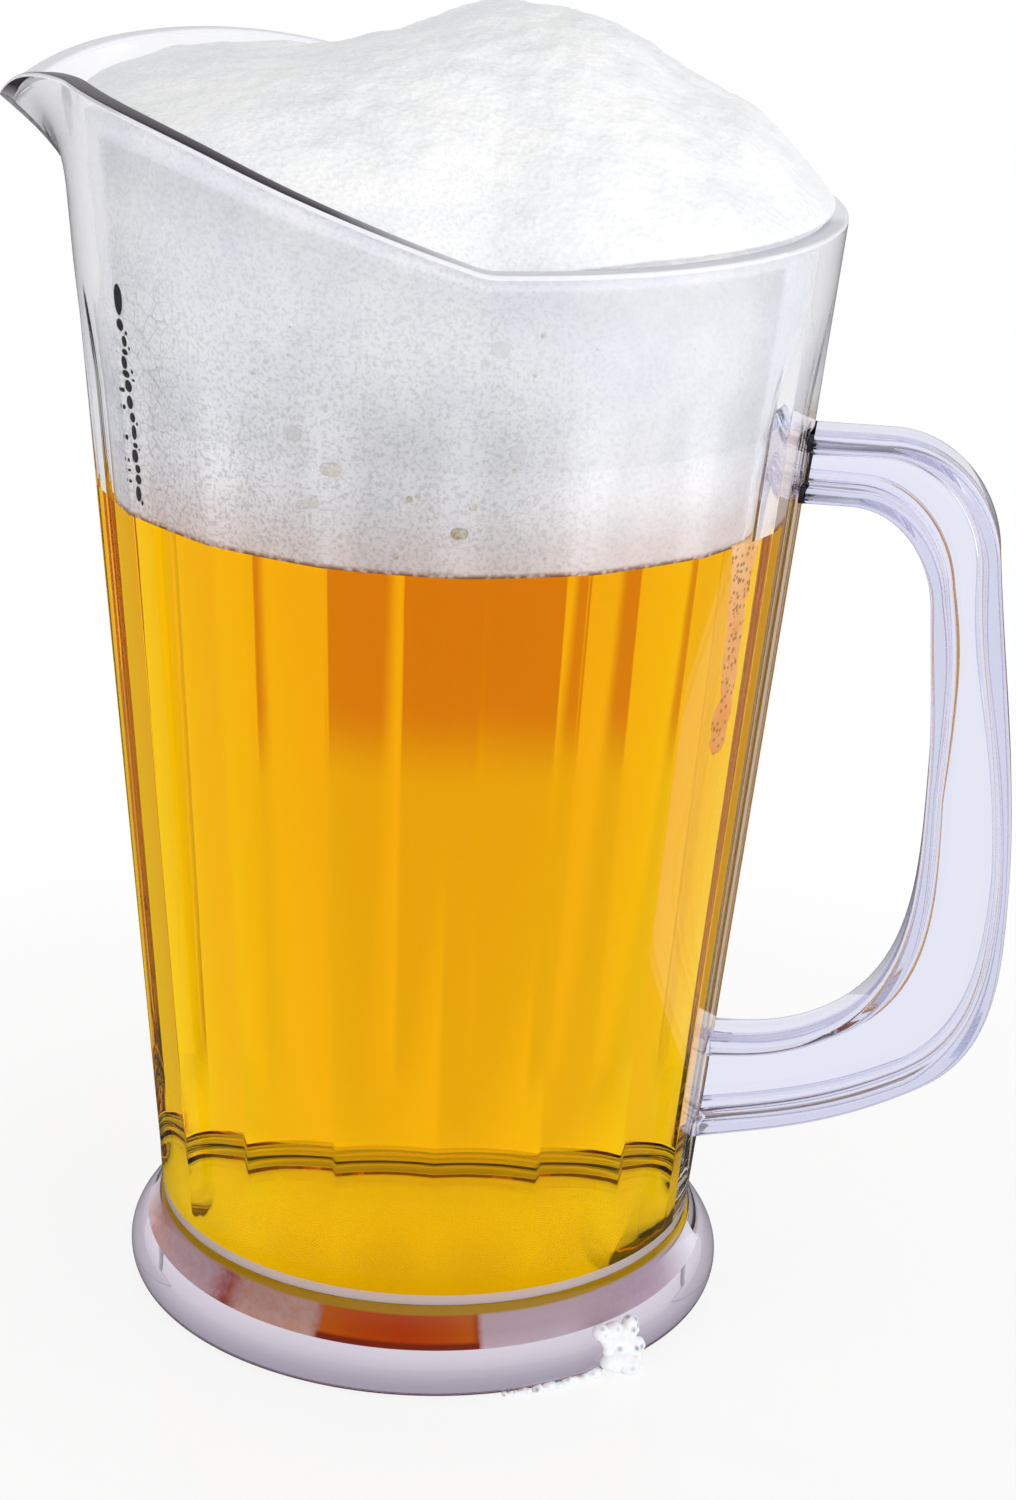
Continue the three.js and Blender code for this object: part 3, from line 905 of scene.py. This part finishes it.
drained = add_node(
    tree,
    "ShaderNodeMapRange",
    {
        "Value": spot["Z"], "From Min": fill_height, "From Max": fill_height + drained_height,
        "To Min": 0.6, "To Max": 0.0,
    },
    interpolation_type="SMOOTHSTEP",
)
grown_from = -0.034
grown_to = -0.044
from_axis = add_node(tree, "ShaderNodeMath", {0: spot["X"], 1: axis_x}, operation="SUBTRACT")
on_flank = add_node(
    tree,
    "ShaderNodeMapRange",
    {"Value": from_axis, "From Min": grown_from, "From Max": grown_to},
    interpolation_type="SMOOTHSTEP",
)
grain_to_handle = add_node(
    tree, "ShaderNodeMapRange", {"Value": share_of["shade_to_handle"], "To Min": 0.3, "To Max": 1.0}
)

froth_layers = [
    ("#f0f2f6", share_of["mottle"]),
    ("#e8dcda", drained),
    ("#a6a8a6", share_of["grain"], share_of["grain_up"], grain_to_handle),
    ("#8f93a4", share_of["cell_wall"], on_flank, share_of["under_ramp"]),
    # Painted shade: grey over the middle band of the froth, strongest low down.
    ("#bcbcbc", share_of["shade_from_beak"], share_of["shade_to_handle"], share_of["shade_up"]),
    ("#7a5322", share_of["fizz_up"], share_of["fizz"]),
]
froth_colour = lay_over(tree, linear("#ffffff"), froth_layers)
coarse_bump = add_node(
    tree, "ShaderNodeBump", {"Height": coarse_cells, "Distance": 0.0007, "Strength": 0.35}
)
fine_bump = add_node(
    tree,
    "ShaderNodeBump",
    {"Height": fine_cells, "Distance": 0.0004, "Strength": 0.5, "Normal": coarse_bump},
)
froth_skin = add_node(
    tree,
    "ShaderNodeBsdfPrincipled",
    {
        "Base Color": froth_colour, "Roughness": 0.55, "Subsurface Weight": 0.15,
        "Subsurface Radius": (1.0, 0.95, 0.9), "Subsurface Scale": 0.0012, "Normal": fine_bump,
    },
)
add_node(tree, "ShaderNodeOutputMaterial", {"Surface": froth_skin})

foam_bottom = fill_height + contents_gap / 2
foam_edge = np.minimum(ramped_rim_height(foam_columns) - foam_drop, spout_crest_height - foam_spout_drop)
foam_rings = []
for share in np.linspace(0, 1, 40):
    level = foam_bottom + (foam_edge - foam_bottom) * share
    foam_rings.append(ring(foam_columns, bore_radius(level) - contents_side_gap, level))
off_middle = np.minimum(foam_columns, 2 * math.pi - foam_columns)
bulge_share = np.clip((bulge_to - off_middle) / (bulge_to - bulge_full), 0, 1)
bulge_share = bulge_share**2 * (3 - 2 * bulge_share)
for step, (outwards, upwards) in enumerate(bulge_steps, 1):
    flat_step = (1 - bulge_share) * step
    edge_radius = bore_radius(foam_edge) - contents_side_gap + bulge_share * outwards - flat_step * drawn_in
    edge_height = foam_edge + bulge_share * upwards + flat_step * raised
    foam_rings.append(ring(foam_columns, edge_radius, edge_height))
foam_rim = foam_rings[-1]
foam_crest = np.array([axis_x + foam_crest_offset, 0, foam_crest_height])


def swell_height(x, y):
    """What the placed swells and the froth's own lumps add to the dome at a point."""
    across = math.exp(-(((y - swell_middle) / swell_length) ** 2))
    lift = sum(h * across * math.exp(-(((x - a) / half_width) ** 2)) for a, half_width, h in swells)
    for lump_width, lump_height in lumps:
        lift += lump_height * noise.noise(Vector((x, y, lump_slice)) / lump_width)
    return lift


for share in np.linspace(1, 0.01, 110)[1:]:
    points = foam_crest + (foam_rim - foam_crest) * share
    points[:, 2] = foam_rim[:, 2] + (foam_crest_height - foam_rim[:, 2]) * (1 - share**foam_fullness)
    settled = min(1.0, (1 - share) / settled_share)
    points[:, 2] += [settled * swell_height(x - axis_x, y) for x, y, _ in points]
    foam_rings.append(points)
foam_mesh = loft("foam_dome", foam_rings)
foam_mesh.materials.append(froth)
foam = add_piece("foam_dome", foam_mesh)
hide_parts("foam_head")
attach(foam, "root")


# Bubbles against the wall: large cells of the froth that lie flat on the inside of the vessel. Some are
# brown with the beer that drains through them, and those where the froth lets go of the wall are air,
# painted almost black for the light they turn away.

seed = np.random.default_rng(7)
bubble_sizes = {"Axis X": axis_x, "Flatness": 0.22}
flat_bubbles, size_of = new_rule("flat_bubbles", bubble_sizes)
position = add_node(flat_bubbles, "GeometryNodeInputPosition")
axis_line = add_node(flat_bubbles, "ShaderNodeCombineXYZ", {"X": size_of["Axis X"]})
outward = add_node(flat_bubbles, "ShaderNodeVectorMath", {0: position, 1: axis_line}, operation="SUBTRACT")
level_out = add_node(
    flat_bubbles, "ShaderNodeVectorMath", {0: outward, 1: (1.0, 1.0, 0.0)}, operation="MULTIPLY"
)
facing = add_node(
    flat_bubbles, "FunctionNodeAlignRotationToVector", {"Vector": level_out}, axis="X", pivot_axis="Z"
)
ball = add_node(flat_bubbles, "GeometryNodeMeshIcoSphere", {"Radius": 0.5, "Subdivisions": 3})
width = add_node(
    flat_bubbles, "GeometryNodeInputNamedAttribute", {"Name": "bubble_width"}, data_type="FLOAT"
)
length = add_node(
    flat_bubbles, "GeometryNodeInputNamedAttribute", {"Name": "bubble_length"}, data_type="FLOAT"
)
depth = add_node(flat_bubbles, "ShaderNodeMath", {0: width, 1: size_of["Flatness"]}, operation="MULTIPLY")
bubble_scale = add_node(flat_bubbles, "ShaderNodeCombineXYZ", {"X": depth, "Y": width, "Z": length})
points = add_node(flat_bubbles, "GeometryNodeMeshToPoints", {"Mesh": size_of["Geometry"]})
placed = add_node(
    flat_bubbles,
    "GeometryNodeInstanceOnPoints",
    {"Points": points, "Instance": ball.outputs["Mesh"], "Rotation": facing, "Scale": bubble_scale},
)
realized = add_node(flat_bubbles, "GeometryNodeRealizeInstances", {"Geometry": placed})
smooth = add_node(flat_bubbles, "GeometryNodeSetShadeSmooth", {"Geometry": realized})
bubble_film = add_node(flat_bubbles, "GeometryNodeSetMaterial", {"Geometry": smooth})
add_node(flat_bubbles, "NodeGroupOutput", {"Geometry": bubble_film})


def add_bubbles(name, bubbles, material):
    """Flat bubbles on the foam's side: azimuth in degrees, height, width, length and a share of brown."""
    azimuths, heights, widths, lengths, browns = np.array(bubbles).T
    radius = bore_radius(heights) - contents_side_gap
    mesh = bpy.data.meshes.new(name)
    mesh.from_pydata(ring(np.radians(azimuths), radius, heights).tolist(), [], [])
    for label, values in (("bubble_width", widths), ("bubble_length", lengths), ("brown", browns)):
        mesh.attributes.new(label, "FLOAT", "POINT").data.foreach_set("value", values.astype(np.float32))
    bubble_film.inputs["Material"].default_value = material
    piece = make_by_rule(add_piece(name + "_points", mesh), flat_bubbles, bubble_sizes, name)
    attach(piece, "root")


# A film of beer closes each bubble: from a faint grey to an olive brown, as more beer is left in it.
beer_film, tree = new_material("beer_film_on_bubbles")
beer_left = add_node(tree, "ShaderNodeAttribute", attribute_name="brown")
place = add_node(tree, "ShaderNodeTexCoord")
grain = add_node(
    tree,
    "ShaderNodeTexNoise",
    {"Vector": place.outputs["Object"], "Scale": 1 / grain_width, "Detail": 2.0, "Roughness": 0.7},
)
grain_share = add_node(
    tree, "ShaderNodeMapRange", {"Value": grain, "From Min": 0.4, "From Max": 0.7, "To Max": 0.5}
)
film_layers = [("#9a8656", beer_left.outputs["Fac"]), ("#f4f5f8", grain_share)]
film_colour = lay_over(tree, linear("#ececee"), film_layers)
film_skin = add_node(
    tree, "ShaderNodeBsdfPrincipled", {"Base Color": film_colour, "Roughness": 0.4, "IOR": beer_index}
)
add_node(tree, "ShaderNodeOutputMaterial", {"Surface": film_skin})

# Empty cells at the wall turn light away, and their darkness is painted: almost black.
painted_dark_air_cell, tree = new_material("painted_dark_air_cell")
cell_skin = add_node(
    tree, "ShaderNodeBsdfPrincipled", {"Base Color": linear("#0c0a10"), "Roughness": 0.5, "IOR": beer_index}
)
add_node(tree, "ShaderNodeOutputMaterial", {"Surface": cell_skin})

# Bearing in degrees, height, width, length and share of brown. Small ones are scattered among them.
scatter_from = 0.003
scatter_height = 0.04
brown_bubbles = [
    (-106.0, 0.1840, 0.0030, 0.0030, 0.22),
    (-100.1, 0.1785, 0.0032, 0.0028, 0.45),
    (-102.8, 0.1722, 0.0022, 0.0020, 0.38),
    (-105.3, 0.1712, 0.0015, 0.0014, 0.35),
    (-88.0, 0.1744, 0.0012, 0.0012, 0.75),
    (-86.7, 0.1750, 0.0011, 0.0010, 0.45),
    (-80.3, 0.1688, 0.0024, 0.0022, 0.95),
    (-78.6, 0.1735, 0.0016, 0.0014, 0.5),
    (-77.4, 0.1715, 0.0011, 0.0010, 0.4),
    (-75.4, 0.2010, 0.0030, 0.0030, 0.16),
    (-72.0, 0.1830, 0.0030, 0.0034, 0.2),
    (-97.5, 0.1660, 0.0013, 0.0012, 0.4),
    (-90.0, 0.1640, 0.0011, 0.0013, 0.7),
]
for _ in range(60):
    size = seed.uniform(0.0004, 0.0011)
    height = fill_height + scatter_from + scatter_height * seed.random() ** 1.5
    brown = seed.uniform(0.1, 0.45)
    brown_bubbles.append((seed.uniform(-120, -60), height, size, size * seed.uniform(0.8, 1.1), brown))
    brown_bubbles.append((seed.uniform(60, 120), height, size, size * seed.uniform(0.8, 1.1), brown))
add_bubbles("brown_bubbles", brown_bubbles, beer_film)

# The air cells hang in a chain down the flank, below one long drop.
chain_azimuth = -141.2
chain_bottom = 0.1650
dark_cells = [(chain_azimuth - 0.3, 0.2005, 0.0028, 0.0064, 0.0)]
cell_top = 0.1968
while cell_top > chain_bottom:
    cell_length = seed.uniform(0.0009, 0.0034)
    cell_width = seed.uniform(0.0010, 0.0026)
    sideways = seed.uniform(-0.6, 0.6)
    dark_cells.append((chain_azimuth + sideways, cell_top - cell_length / 2, cell_width, cell_length, 0.0))
    beside = chain_azimuth + seed.choice([-1.9, 1.5]) + seed.uniform(-0.4, 0.4)
    dark_cells.append((beside, cell_top - cell_length, cell_width * 0.4, cell_length * 0.35, 0.0))
    cell_top -= cell_length * seed.uniform(1.0, 1.25)
add_bubbles("dark_cells", dark_cells, painted_dark_air_cell)


# Foam streak: froth that has run down the inside of the wall into the beer, beside the handle. It is a thin
# film, and the beer's light showing through it is painted in amber.

# Height, and the bearings of the left and the right edge in degrees.
streak_stations = np.array(
    [
        (0.1612, -29.8, -21.0),
        (0.1530, -28.6, -22.3),
        (0.1440, -27.7, -22.4),
        (0.1320, -26.7, -22.0),
        (0.1260, -28.3, -22.2),
        (0.1225, -27.8, -22.6),
        (0.1205, -26.4, -24.0),
    ]
)
streak_middle = 0.00024
streak_half_thickness = 0.00017
left_waver, right_waver = 0.9, 0.7
wavers_per_metre = 300
around = np.linspace(0, 2 * math.pi, 48, endpoint=False)
heights, left_edges, right_edges = streak_stations[::-1].T
streak_rings = []
for z in np.linspace(heights[0], heights[-1], 60):
    left = np.interp(z, heights, left_edges)
    right = np.interp(z, heights, right_edges)
    left += left_waver * noise.noise(Vector((z * wavers_per_metre, 0.0, 1.0)))
    right += right_waver * noise.noise(Vector((z * wavers_per_metre, 5.0, 1.0)))
    azimuths = np.radians((left + right) / 2 + (right - left) / 2 * np.cos(around))
    radius = bore_radius(z) - streak_middle - streak_half_thickness * np.sin(around)
    streak_rings.append(ring(azimuths, radius, z))
streak_mesh = loft("foam_streak", streak_rings)

# Thin froth: pale where it is thick, and painted amber where it is thin, for the beer's light showing
# through, with brown specks of cells. A faint painted glow stands for the light that comes through the beer
# from behind.
patch_width = 0.006
thin_at = 0.125
thick_at = 0.165
painted_glow_froth, tree = new_material("thin_beer_froth_painted_glow")
place, spot = place_on_piece(tree)
froth_patches = add_node(
    tree, "ShaderNodeTexNoise", {"Vector": place, "Scale": 1 / patch_width, "Detail": 4.0}
)
towards_foam = add_node(
    tree,
    "ShaderNodeMapRange",
    {"Value": spot["Z"], "From Min": thin_at, "From Max": thick_at, "To Min": -0.25, "To Max": 0.35},
)
thickness = add_node(
    tree, "ShaderNodeMath", {0: froth_patches, 1: towards_foam}, operation="ADD", use_clamp=True
)
thin_cells = add_node(tree, "ShaderNodeTexVoronoi", {"Vector": place, "Scale": 1 / fine_bubble})
speck = add_node(
    tree, "ShaderNodeMapRange", {"Value": thin_cells, "From Min": 0.40, "From Max": 0.26, "To Max": 0.8}
)
thin_painted_amber = lay_over(tree, linear("#e29620"), [("#f0d6a4", thickness), ("#6a5a20", speck)])
thin_bump = add_node(tree, "ShaderNodeBump", {"Height": thin_cells, "Distance": 0.0004, "Strength": 0.6})
thin_skin = add_node(
    tree,
    "ShaderNodeBsdfPrincipled",
    {
        "Base Color": thin_painted_amber, "Roughness": 0.5, "Specular IOR Level": 0.1,
        "Emission Color": linear("#ff9c24"), "Emission Strength": 0.2, "Normal": thin_bump,
    },
)
add_node(tree, "ShaderNodeOutputMaterial", {"Surface": thin_skin})
streak_mesh.materials.append(painted_glow_froth)
streak = add_piece("foam_streak", streak_mesh)
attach(streak, "root")


# Foam puddle: froth that has run over and settled on the table against the foot, with a trail of bubbles
# along the lip. It is flat where it lies on the table.

# Wet froth: white with a blue cast and a shine, and pitted by its larger bubbles, with painted shade in the
# pits.
pit_width = 0.0021
wet_froth, tree = new_material("wet_beer_froth")
place = add_node(tree, "ShaderNodeTexCoord")
pits = add_node(tree, "ShaderNodeTexVoronoi", {"Vector": place.outputs["Object"], "Scale": 1 / pit_width})
pit_depth = add_node(tree, "ShaderNodeMapRange", {"Value": pits, "From Min": 0.05, "From Max": 0.35})
pit_painted_shade_colour = lay_over(tree, linear("#9aa3b2"), [("#f3f5fa", pit_depth)])
pit_bump = add_node(tree, "ShaderNodeBump", {"Height": pit_depth, "Distance": 0.0005, "Strength": 0.6})
wet_skin = add_node(
    tree,
    "ShaderNodeBsdfPrincipled",
    {
        "Base Color": pit_painted_shade_colour, "Roughness": 0.45, "IOR": beer_index, "Specular IOR Level": 0.25,
        "Subsurface Weight": 0.3, "Subsurface Scale": 0.0015, "Normal": pit_bump,
    },
)
add_node(tree, "ShaderNodeOutputMaterial", {"Surface": wet_skin})

puddle_bearing = -41.5
puddle_spread = 2.6
puddle_limit = 4.2
puddle_climb = 0.0085
trail_bearing = -46
trail_length = 20
trail_inset = 0.0016
puddle_blobs = []
for _ in range(60):
    off_bearing = np.clip(seed.normal(0, puddle_spread), -puddle_limit, puddle_limit)
    azimuth = math.radians(puddle_bearing + off_bearing)
    climb = seed.random()
    blob = seed.uniform(0.0009, 0.0021) * (1.25 - 0.5 * climb)
    reach = foot_radius + 0.0012 - 0.0026 * climb + seed.uniform(-0.0005, 0.0012) * (1 - climb)
    puddle_blobs.append((azimuth, reach, 0.0012 + puddle_climb * climb, blob))
for step in np.linspace(0, 1, 30):
    azimuth = math.radians(trail_bearing - trail_length * step + seed.uniform(-0.6, 0.6))
    blob = seed.uniform(0.0006, 0.0013) * (1 - 0.5 * step)
    puddle_blobs.append((azimuth, foot_radius - trail_inset + seed.uniform(0, 0.0012), blob * 0.8, blob))
puddle_azimuth, puddle_reach, puddle_height, puddle_radius = np.array(puddle_blobs).T
puddle_mesh = bpy.data.meshes.new("foam_puddle")
puddle_mesh.from_pydata(ring(puddle_azimuth, puddle_reach, puddle_height).tolist(), [], [])
blob_radius = puddle_mesh.attributes.new("blob_radius", "FLOAT", "POINT")
blob_radius.data.foreach_set("value", puddle_radius.astype(np.float32))

puddle_sizes = {"Cell Size": 0.0003, "Skin Level": 0.1, "Table Gap": 0.0001}
merged_froth, size_of = new_rule("merged_froth", puddle_sizes)
points = add_node(merged_froth, "GeometryNodeMeshToPoints", {"Mesh": size_of["Geometry"]})
radius = add_node(
    merged_froth, "GeometryNodeInputNamedAttribute", {"Name": "blob_radius"}, data_type="FLOAT"
)
cloud = add_node(
    merged_froth,
    "GeometryNodePointsToVolume",
    {"Points": points, "Radius": radius, "Voxel Size": size_of["Cell Size"]},
    resolution_mode="VOXEL_SIZE",
)
skin = add_node(
    merged_froth,
    "GeometryNodeVolumeToMesh",
    {"Volume": cloud, "Voxel Size": size_of["Cell Size"], "Threshold": size_of["Skin Level"]},
    resolution_mode="VOXEL_SIZE",
)
skin_point = add_node(merged_froth, "GeometryNodeInputPosition")
spot = add_node(merged_froth, "ShaderNodeSeparateXYZ", {0: skin_point})
on_table = add_node(
    merged_froth, "ShaderNodeMath", {0: spot.outputs["Z"], 1: size_of["Table Gap"]}, operation="MAXIMUM"
)
flat_point = add_node(
    merged_froth, "ShaderNodeCombineXYZ", {"X": spot.outputs["X"], "Y": spot.outputs["Y"], "Z": on_table}
)
flat_based = add_node(merged_froth, "GeometryNodeSetPosition", {"Geometry": skin, "Position": flat_point})
smooth = add_node(merged_froth, "GeometryNodeSetShadeSmooth", {"Geometry": flat_based})
realized = add_node(merged_froth, "GeometryNodeRealizeInstances", {"Geometry": smooth})
frothy = add_node(merged_froth, "GeometryNodeSetMaterial", {"Geometry": realized, "Material": wet_froth})
add_node(merged_froth, "NodeGroupOutput", {"Geometry": frothy})
puddle_points = add_piece("foam_puddle_points", puddle_mesh)
puddle = make_by_rule(puddle_points, merged_froth, puddle_sizes, "foam_puddle")
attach(puddle, "root")


# Stage: a plain sheet of polished white acrylic, which is white where the object's shadow ends and behind
# what is clear. Seen through the beer it has a warm patch at the back, and is a little brighter beside it.

floor_size = 3.0
shadow_reach = 0.10
white_from = 0.28
near_whiteness = 0.85
floor_mesh = bpy.data.meshes.new("floor")
corner = floor_size / 2
floor_corners = [(-corner, -corner, 0), (corner, -corner, 0), (corner, corner, 0), (-corner, corner, 0)]
floor_mesh.from_pydata(floor_corners, [], [(0, 1, 2, 3)])
pale_floor, tree = new_material("polished_white_acrylic")
place, spot = place_on_piece(tree)
from_middle = add_node(tree, "ShaderNodeVectorMath", {0: place}, operation="LENGTH")
far_off = add_node(
    tree,
    "ShaderNodeMapRange",
    {"Value": from_middle, "From Min": shadow_reach, "From Max": white_from, "To Min": near_whiteness},
    interpolation_type="SMOOTHSTEP",
)
light_path = add_node(tree, "ShaderNodeLightPath")
whiteness = add_node(
    tree, "ShaderNodeMath", {0: far_off, 1: light_path.outputs["Is Transmission Ray"]}, operation="MAXIMUM"
)
acrylic = add_node(tree, "ShaderNodeBsdfPrincipled", {"Base Color": linear("#f7f7f7"), "Roughness": 0.06})
card_right = -0.027
card_left = -0.0081
card_spread = 0.33
card_blur = 0.008
card_from = (0.36, 0.46)
card_to = (0.72, 0.80)
faces_to_beer = 4.5
beside_card_level = 1.12
mirror_level = 0.06
left_edge = add_node(
    tree, "ShaderNodeMath", {0: spot["Y"], 1: card_spread, 2: spot["X"]}, operation="MULTIPLY_ADD"
)
right_of_left = add_node(
    tree,
    "ShaderNodeMapRange",
    {"Value": left_edge, "From Min": card_left - card_blur, "From Max": card_left + card_blur},
)
left_of_right = add_node(
    tree,
    "ShaderNodeMapRange",
    {
        "Value": spot["X"], "From Min": card_right - card_blur, "From Max": card_right + card_blur,
        "To Min": 1.0, "To Max": 0.0,
    },
)
in_line = add_node(tree, "ShaderNodeMath", {0: right_of_left, 1: left_of_right}, operation="MULTIPLY")
behind = add_node(
    tree,
    "ShaderNodeMapRange",
    {"Value": spot["Y"], "From Min": card_from[0], "From Max": card_from[1]},
    interpolation_type="SMOOTHSTEP",
)
not_beyond = add_node(
    tree,
    "ShaderNodeMapRange",
    {"Value": spot["Y"], "From Min": card_to[0], "From Max": card_to[1], "To Min": 1.0, "To Max": 0.0},
)
through_beer = add_node(
    tree,
    "ShaderNodeMath",
    {0: light_path.outputs["Transmission Depth"], 1: faces_to_beer},
    operation="GREATER_THAN",
)
ground = lay_over(tree, linear("#ffffff"), [("#ebbf95", in_line, behind, not_beyond, through_beer)])
beside_card = add_node(
    tree, "ShaderNodeMapRange", {"Value": in_line, "To Min": beside_card_level, "To Max": 1.0}
)
glow = add_node(
    tree, "ShaderNodeMix", {"Factor": through_beer, "A": 1.0, "B": beside_card}, data_type="FLOAT"
)
white = add_node(tree, "ShaderNodeEmission", {"Color": ground, "Strength": glow})
lit_floor = add_node(tree, "ShaderNodeMixShader", {0: whiteness, 1: acrylic, 2: white})
in_reflections = add_node(
    tree, "ShaderNodeEmission", {"Color": linear("#ffffff"), "Strength": mirror_level}
)
reflected = add_node(
    tree,
    "ShaderNodeMath",
    {0: light_path.outputs["Is Glossy Ray"], 1: light_path.outputs["Is Transmission Ray"]},
    operation="SUBTRACT",
)
whole_floor = add_node(tree, "ShaderNodeMixShader", {0: reflected, 1: lit_floor, 2: in_reflections})
add_node(tree, "ShaderNodeOutputMaterial", {"Surface": whole_floor})
floor_mesh.materials.append(pale_floor)
floor = add_piece("floor", floor_mesh)


# Light: a white studio all round with a dimmer ceiling and a brighter front towards the handle, and one
# wide soft lamp overhead.

key_direction = (0.77, -0.64, 0.0)
key_from, key_full, key_level = 0.2, 0.9, 1.65
ceiling_from, ceiling_full, ceiling_level = 0.45, 0.8, 0.3
mirrored_level = 0.7
world = bpy.data.worlds.new("white_studio")
bpy.context.scene.world = world
world.use_nodes = True
world.node_tree.nodes.clear()
tree = world.node_tree
place = add_node(tree, "ShaderNodeTexCoord")
direction = add_node(tree, "ShaderNodeSeparateXYZ", {0: place.outputs["Generated"]})
ceiling = add_node(
    tree,
    "ShaderNodeMapRange",
    {
        "Value": direction.outputs["Z"], "From Min": ceiling_from, "From Max": ceiling_full, "To Min": 1.0,
        "To Max": ceiling_level,
    },
    interpolation_type="SMOOTHSTEP",
)
light_path = add_node(tree, "ShaderNodeLightPath")
mirrored = add_node(
    tree,
    "ShaderNodeMath",
    {0: light_path.outputs["Is Glossy Ray"], 1: light_path.outputs["Is Transmission Ray"]},
    operation="SUBTRACT",
)
fill = add_node(tree, "ShaderNodeMapRange", {"Value": mirrored, "To Min": 1.0, "To Max": mirrored_level})
towards_key = add_node(
    tree, "ShaderNodeVectorMath", {0: place.outputs["Generated"], 1: key_direction}, operation="DOT_PRODUCT"
)
key_side = add_node(
    tree,
    "ShaderNodeMapRange",
    {
        "Value": towards_key, "From Min": key_from, "From Max": key_full, "To Min": 1.0,
        "To Max": key_level,
    },
    interpolation_type="SMOOTHSTEP",
)
levels = add_node(tree, "ShaderNodeMath", {0: ceiling, 1: key_side}, operation="MULTIPLY")
dimmed = add_node(tree, "ShaderNodeMath", {0: levels, 1: fill}, operation="MULTIPLY")
strength = add_node(
    tree,
    "ShaderNodeMix",
    {"Factor": light_path.outputs["Is Camera Ray"], "A": dimmed, "B": 1.0},
    data_type="FLOAT",
)
surround = add_node(tree, "ShaderNodeBackground", {"Color": linear("#ffffff"), "Strength": strength})
add_node(tree, "ShaderNodeOutputWorld", {"Surface": surround})

# A ray crosses many faces of clear plastic here, so paths run longer than usual before they end, and no
# reflection is blurred on the way.
cycles = bpy.context.scene.cycles
cycles.max_bounces = 24
cycles.glossy_bounces = 16
cycles.transmission_bounces = 24
cycles.diffuse_bounces = 6
cycles.blur_glossy = 0.0

lamp_data = bpy.data.lights.new("overhead_softbox", "AREA")
lamp_data.shape = "RECTANGLE"
lamp_data.size = 0.9
lamp_data.size_y = 0.9
lamp_data.energy = 2.2
lamp = bpy.data.objects.new("overhead_softbox", lamp_data)
bpy.context.scene.collection.objects.link(lamp)
lamp.location = (0.15, -0.1, 1.1)
lamp.rotation_euler = (Vector((0, 0, 0.1)) - lamp.location).to_track_quat("-Z", "Y").to_euler()


# Camera: a long lens a little over half a metre away, looking down at the front from the handle's side.

camera_distance = 0.6158
camera_azimuth = math.radians(7.9)
camera_height = 0.3304
camera_turn = math.radians(6.70)
camera_pitch = math.radians(19.87)
camera_roll = math.radians(2.36)
camera_data = bpy.data.cameras.new("camera")
camera_data.sensor_width = 36.0
camera_data.lens = 82.69
camera = bpy.data.objects.new("camera", camera_data)
bpy.context.scene.collection.objects.link(camera)
stand = Matrix.Translation(
    (
        axis_x + camera_distance * math.sin(camera_azimuth),
        -camera_distance * math.cos(camera_azimuth),
        camera_height,
    )
)
aim = Matrix.Rotation(camera_turn, 4, "Z") @ Matrix.Rotation(math.pi / 2 - camera_pitch, 4, "X")
camera.matrix_world = stand @ aim @ Matrix.Rotation(camera_roll, 4, "Z")
bpy.context.scene.camera = camera
bpy.context.scene.view_settings.view_transform = "Standard"
